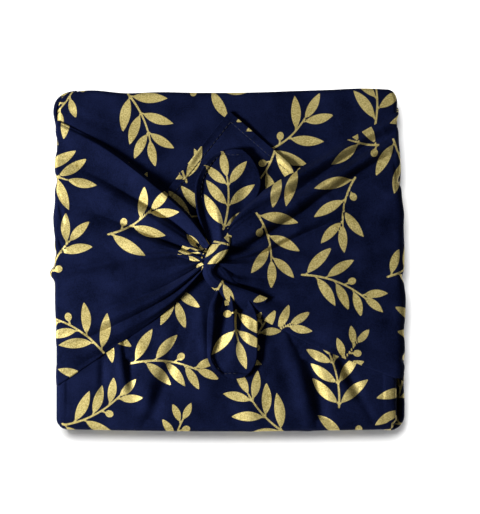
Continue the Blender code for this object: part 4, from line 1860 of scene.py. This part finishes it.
UPPER_TAIL = (
    ((-11.6, 10.5, 9.2), (-8.6, 10.5, 10.0), (-5.0, 10.5, 11.6), (0.6, 10.5, 9.6)),
    ((-15.4, 20.0, 7.4), (-12.4, 20.0, 5.6), (-5.4, 20.8, 9.2), (3.2, 21.4, 7.2)),
    ((-18.6, 30.0, 6.6), (-15.4, 30.0, 4.4), (-4.4, 31.5, 7.6), (9.8, 30.0, 4.8)),
    ((-20.2, 39.0, 6.2), (-16.0, 39.5, 4.0), (-2.0, 41.0, 6.2), (15.7, 37.7, 4.2)),
    ((-20.0, 48.5, 5.4), (-15.0, 49.0, 3.6), (0.6, 50.3, 4.9), (19.5, 47.8, 4.4)),
    ((-16.5, 57.2, 4.8), (-11.4, 58.0, 3.4), (2.5, 59.0, 4.3), (18.0, 57.2, 4.5)),
    ((-10.7, 64.8, 4.3), (-6.6, 65.4, 3.4), (2.8, 66.4, 3.8), (13.5, 65.0, 4.2)),
    ((-2.5, 69.4, 3.8), (-0.3, 69.8, 3.6), (3.0, 70.2, 3.9), (8.2, 69.9, 4.2)),
)
LOWER_TAIL = (
    ((-7.0, -13.2, 6.0), (-5.6, -13.2, 7.2), (-3.6, -13.4, 5.4),
     (-1.2, -13.6, 7.4), (1.0, -15.0, 6.0), (3.8, -16.4, 6.4)),
    ((-8.8, -20.0, 5.0), (-7.0, -20.0, 7.4), (-2.4, -20.0, 3.4),
     (0.6, -20.2, 7.0), (4.4, -21.0, 3.4), (9.4, -22.0, 5.8)),
    ((-12.2, -27.6, 3.6), (-9.8, -27.6, 7.4), (-1.0, -27.6, 2.0),
     (2.2, -27.6, 7.0), (6.4, -28.0, 2.0), (14.2, -28.4, 5.8)),
    ((-13.4, -35.4, 3.0), (-10.0, -35.4, 7.0), (-2.6, -35.4, 1.9),
     (2.6, -35.4, 6.8), (7.0, -35.6, 3.4), (17.0, -35.8, 5.8)),
    ((-13.8, -44.4, 2.8), (-10.4, -44.4, 6.4), (-4.6, -44.4, 1.9),
     (2.6, -44.4, 6.2), (7.2, -44.4, 4.4), (17.3, -44.4, 5.8)),
    ((-13.8, -53.0, 2.6), (-11.0, -53.0, 5.2), (-7.0, -53.0, 1.9),
     (2.4, -53.0, 5.2), (7.4, -53.0, 4.4), (17.3, -53.2, 5.4)),
    ((-13.2, -61.4, 2.4), (-11.4, -61.4, 3.8), (-8.2, -61.4, 2.1),
     (2.0, -61.6, 4.2), (7.6, -61.8, 4.0), (16.6, -62.4, 4.8)),
    ((-9.6, -68.2, 2.4), (-7.8, -68.2, 2.6), (-5.6, -68.4, 2.2),
     (2.0, -69.0, 3.2), (6.6, -69.2, 3.2), (13.2, -69.2, 4.0)),
    ((-3.6, -72.8, 2.3), (-2.6, -73.0, 2.4), (-1.0, -73.4, 2.3),
     (2.6, -74.0, 2.8), (5.0, -74.0, 2.9), (8.8, -73.2, 3.2)),
)


def tails(slab: Slab) -> tuple[Tail, Tail]:
    """The upper and the lower tail, each with its own print and creases.

    Args:
        slab: the parcel's block.

    Returns:
        The two tails.
    """
    upper_ink = Print(Sprig(Twig.PAIRS, -3.5, 20.0, 86))
    lower_ink = Print(Sprig(Twig.TUFT, 4.5, -31.0, 274, flip=True))
    upper_creases = (
        Crease((-18.6, 26), (-18.8, 52), 0.6, 1.6),
        Crease((6, 26), (12, 58), -0.7, 3.4),
        Crease((1.6, 12), (4.6, 30), -1.6, 1.3),
        Crease((-5, 14), (-8.6, 36), 0.9, 1.8),
    )
    lower_creases = (
        Crease((-4.4, -19), (-6.8, -32), -2.4, 1.2),
        Crease((6.4, -24), (7.0, -44), -0.8, 1.2),
        Crease((12.0, -26), (13.0, -58), 0.5, 2.4),
        Crease((-12.4, -56), (-1, -71), -0.3, 1.2),
    )
    upper = Tail("upper_tail", slab, UPPER_TAIL, upper_ink, (0.042, 0.066), 0.00235, 0.42, upper_creases)
    lower = Tail("lower_tail", slab, LOWER_TAIL, lower_ink, (0.042, 0.064), 0.0023, 0.74, lower_creases)
    return upper, lower


@dataclass
class Seam:
    """A row of lockstitches along lines on the cloth, in millimetres."""

    name: str
    long: float = 2.3
    gap: float = 0.8
    thick: float = 0.42
    rings: int = 5
    sides: int = 6

    def build(self, lines: Sequence[Array], thread: Any) -> Any:
        """One piece of all the stitches.

        A stitch is a capsule of rings along its chord. A ring's radius goes as the root of sin along the
        stitch, and its middle is sunk at the ends, where the thread enters the cloth.

        Args:
            lines: points along each line, in the tables' frame.
            thread: the stitches' finish.

        Returns:
            The object.
        """
        starts, ends = [], []
        for line in lines:
            if len(line) < 3:
                continue
            arc = along_arc(line[None], 1)[0]
            count = int((arc[-1] - self.long) / (self.long + self.gap))
            at = np.arange(max(count, 0)) * (self.long + self.gap) + 0.5
            starts.append(np.stack([np.interp(at, arc, line[:, k]) for k in range(3)], -1))
            ends.append(np.stack([np.interp(at + self.long, arc, line[:, k]) for k in range(3)], -1))
        a, b = np.concatenate(starts), np.concatenate(ends)
        t = np.linspace(0.02, 0.98, self.rings)
        turn = np.linspace(0, 2 * np.pi, self.sides, endpoint=False)
        way = unit(b - a)
        cross = unit(np.cross(way, [0.0, 0.0, 1.0]))
        up = np.cross(cross, way)
        middle = a[:, None] + (b - a)[:, None] * t[None, :, None]
        middle[..., 2] += self.thick * (0.55 - 0.9 * (2 * t - 1) ** 4)[None]
        radius = (self.thick / 2 * np.sqrt(np.sin(np.pi * t)))[None, :, None, None]
        ring = np.cos(turn)[:, None] * cross[:, None, None] + np.sin(turn)[:, None] * up[:, None, None]
        points = middle[:, :, None] + radius * ring
        count = len(points)
        last = (self.rings - 1) * self.sides
        # two faces close each end of a six-sided stitch
        caps = np.array([(3, 2, 1, 0), (5, 4, 3, 0), (last, last + 1, last + 2, last + 3)])
        caps = np.concatenate([caps, [(last, last + 3, last + 4, last + 5)]])
        one = np.concatenate([quads_of(self.rings, self.sides, around=True)[:, ::-1], caps])
        quads = (one[None] + (np.arange(count) * self.rings * self.sides)[:, None, None]).reshape(-1, 4)
        flat = points.reshape(-1, 3)
        centre = np.repeat(middle.mean(1), len(one), axis=0)
        if (facing(flat, quads) * (flat[quads[:, 0]] - centre)).sum() < 0:
            quads = quads[:, ::-1]
        return Panel(self.name, flat, quads, np.full(len(flat), FAR), flat[:, :2]).piece(thread)


# The studio ---------------------------------------------------------------------------------------------


@dataclass(frozen=True)
class Lamp:
    """A square soft lamp."""

    name: str
    place: Triple  # where it hangs, in metres
    size: float  # of its side, in metres
    power: float  # in watts


CLOTH_LAMPS = (
    Lamp("key", (-0.70, -0.15, 0.52), 0.22, 16.2),
    Lamp("back", (0.3, 0.9, 1.0), 0.6, 1.6),
)
FLOOR_LAMPS = (
    Lamp("floor_lamp", (-0.11, 0.27, 1.6), 0.34, 36.0),
    Lamp("floor_fill", (0.0, 0.1, 1.7), 1.6, 14.0),
)


@dataclass
class Studio:
    """A white floor, soft light and the camera straight above."""

    view: Pair = (0.0066, 0.0034)  # what the camera looks at, in metres
    eye_height: float = 1.55
    frame_width: float = 0.302  # at the top of the parcel
    top_height: float = 0.047
    floor_size: float = 6.0
    surroundings: float = 0.055  # how strongly the white surroundings shine
    sensor: float = 36.0  # its width, in millimetres

    def floor(self) -> Any:
        """The floor.

        Returns:
            The floor's object.
        """
        half = self.floor_size / 2
        mesh = bpy.data.meshes.new("floor")
        corners = [(-half, -half, 0), (half, -half, 0), (half, half, 0), (-half, half, 0)]
        mesh.from_pydata(corners, [], [(0, 1, 2, 3)])
        made = bpy.data.objects.new("floor", mesh)
        mesh.materials.append(PaleFloor().material())
        bpy.context.scene.collection.objects.link(made)
        return made

    def hang(self, lamp: Lamp, lit: Sequence[Any]) -> Any:
        """Hangs a lamp aimed at the knot, flagged off from all but some objects.

        Args:
            lamp: the lamp.
            lit: the objects that it lights.

        Returns:
            The lamp's object.
        """
        data = bpy.data.lights.new(lamp.name, "AREA")
        data.size, data.energy = lamp.size, lamp.power
        made = bpy.data.objects.new(lamp.name, data)
        made.light_linking.receiver_collection = bpy.data.collections.new(lamp.name + "_lit")
        for thing in lit:
            made.light_linking.receiver_collection.objects.link(thing)
        made.location = lamp.place
        aim = Vector((0.0, 0.0, self.top_height)) - Vector(lamp.place)
        made.rotation_euler = aim.to_track_quat("-Z", "Y").to_euler()
        made.visible_camera = False
        bpy.context.scene.collection.objects.link(made)
        return made

    def camera(self) -> Any:
        """The camera, looking straight down with +Y up in its frame.

        Returns:
            The camera's object.
        """
        data = bpy.data.cameras.new("camera")
        data.sensor_fit = "HORIZONTAL"
        data.sensor_width = self.sensor
        data.lens = self.sensor * (self.eye_height - self.top_height) / self.frame_width
        made = bpy.data.objects.new("camera", data)
        made.location = (*self.view, self.eye_height)
        bpy.context.scene.collection.objects.link(made)
        bpy.context.scene.camera = made
        return made

    def build(self, pieces: Sequence[Any]) -> None:
        """Sets up the floor, the lamps, the camera and the white surroundings.

        Args:
            pieces: the cloth's pieces, lit from the lower left. The floor has lamps of its own.
        """
        floor = self.floor()
        self.camera()
        for lamp in CLOTH_LAMPS:
            self.hang(lamp, pieces)
        for lamp in FLOOR_LAMPS:
            self.hang(lamp, [floor])
        world = bpy.data.worlds.new("studio")
        world.use_nodes = True
        ground = world.node_tree.nodes["Background"]
        ground.inputs["Color"].default_value = (1.0, 1.0, 1.0, 1)
        ground.inputs["Strength"].default_value = self.surroundings
        bpy.context.scene.world = world
        bpy.context.scene.view_settings.view_transform = "Standard"


def main() -> None:
    """Builds the cloth panel by panel, then the studio."""
    logging.basicConfig(level=logging.INFO, format="%(message)s")
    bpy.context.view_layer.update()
    cotton = PrintedCotton().material()
    navy_thread = SewingThread("navy_thread", (0.003, 0.006, 0.024, 1), (0.001, 0.002, 0.01, 1)).material()
    slab = Slab()
    pieces = [*Wrap(slab).build(cotton), *FrontFlap(slab).build(cotton, navy_thread)]
    pieces += [wing.build(cotton) for wing in (left_wing(slab), right_wing(slab))]
    pieces += [strand.build(cotton) for strand in (*strands(slab), *tucks(slab))]
    for tail in tails(slab):
        pieces += tail.build(cotton, navy_thread)
    Studio().build(pieces)


if __name__ == "__main__":
    main()
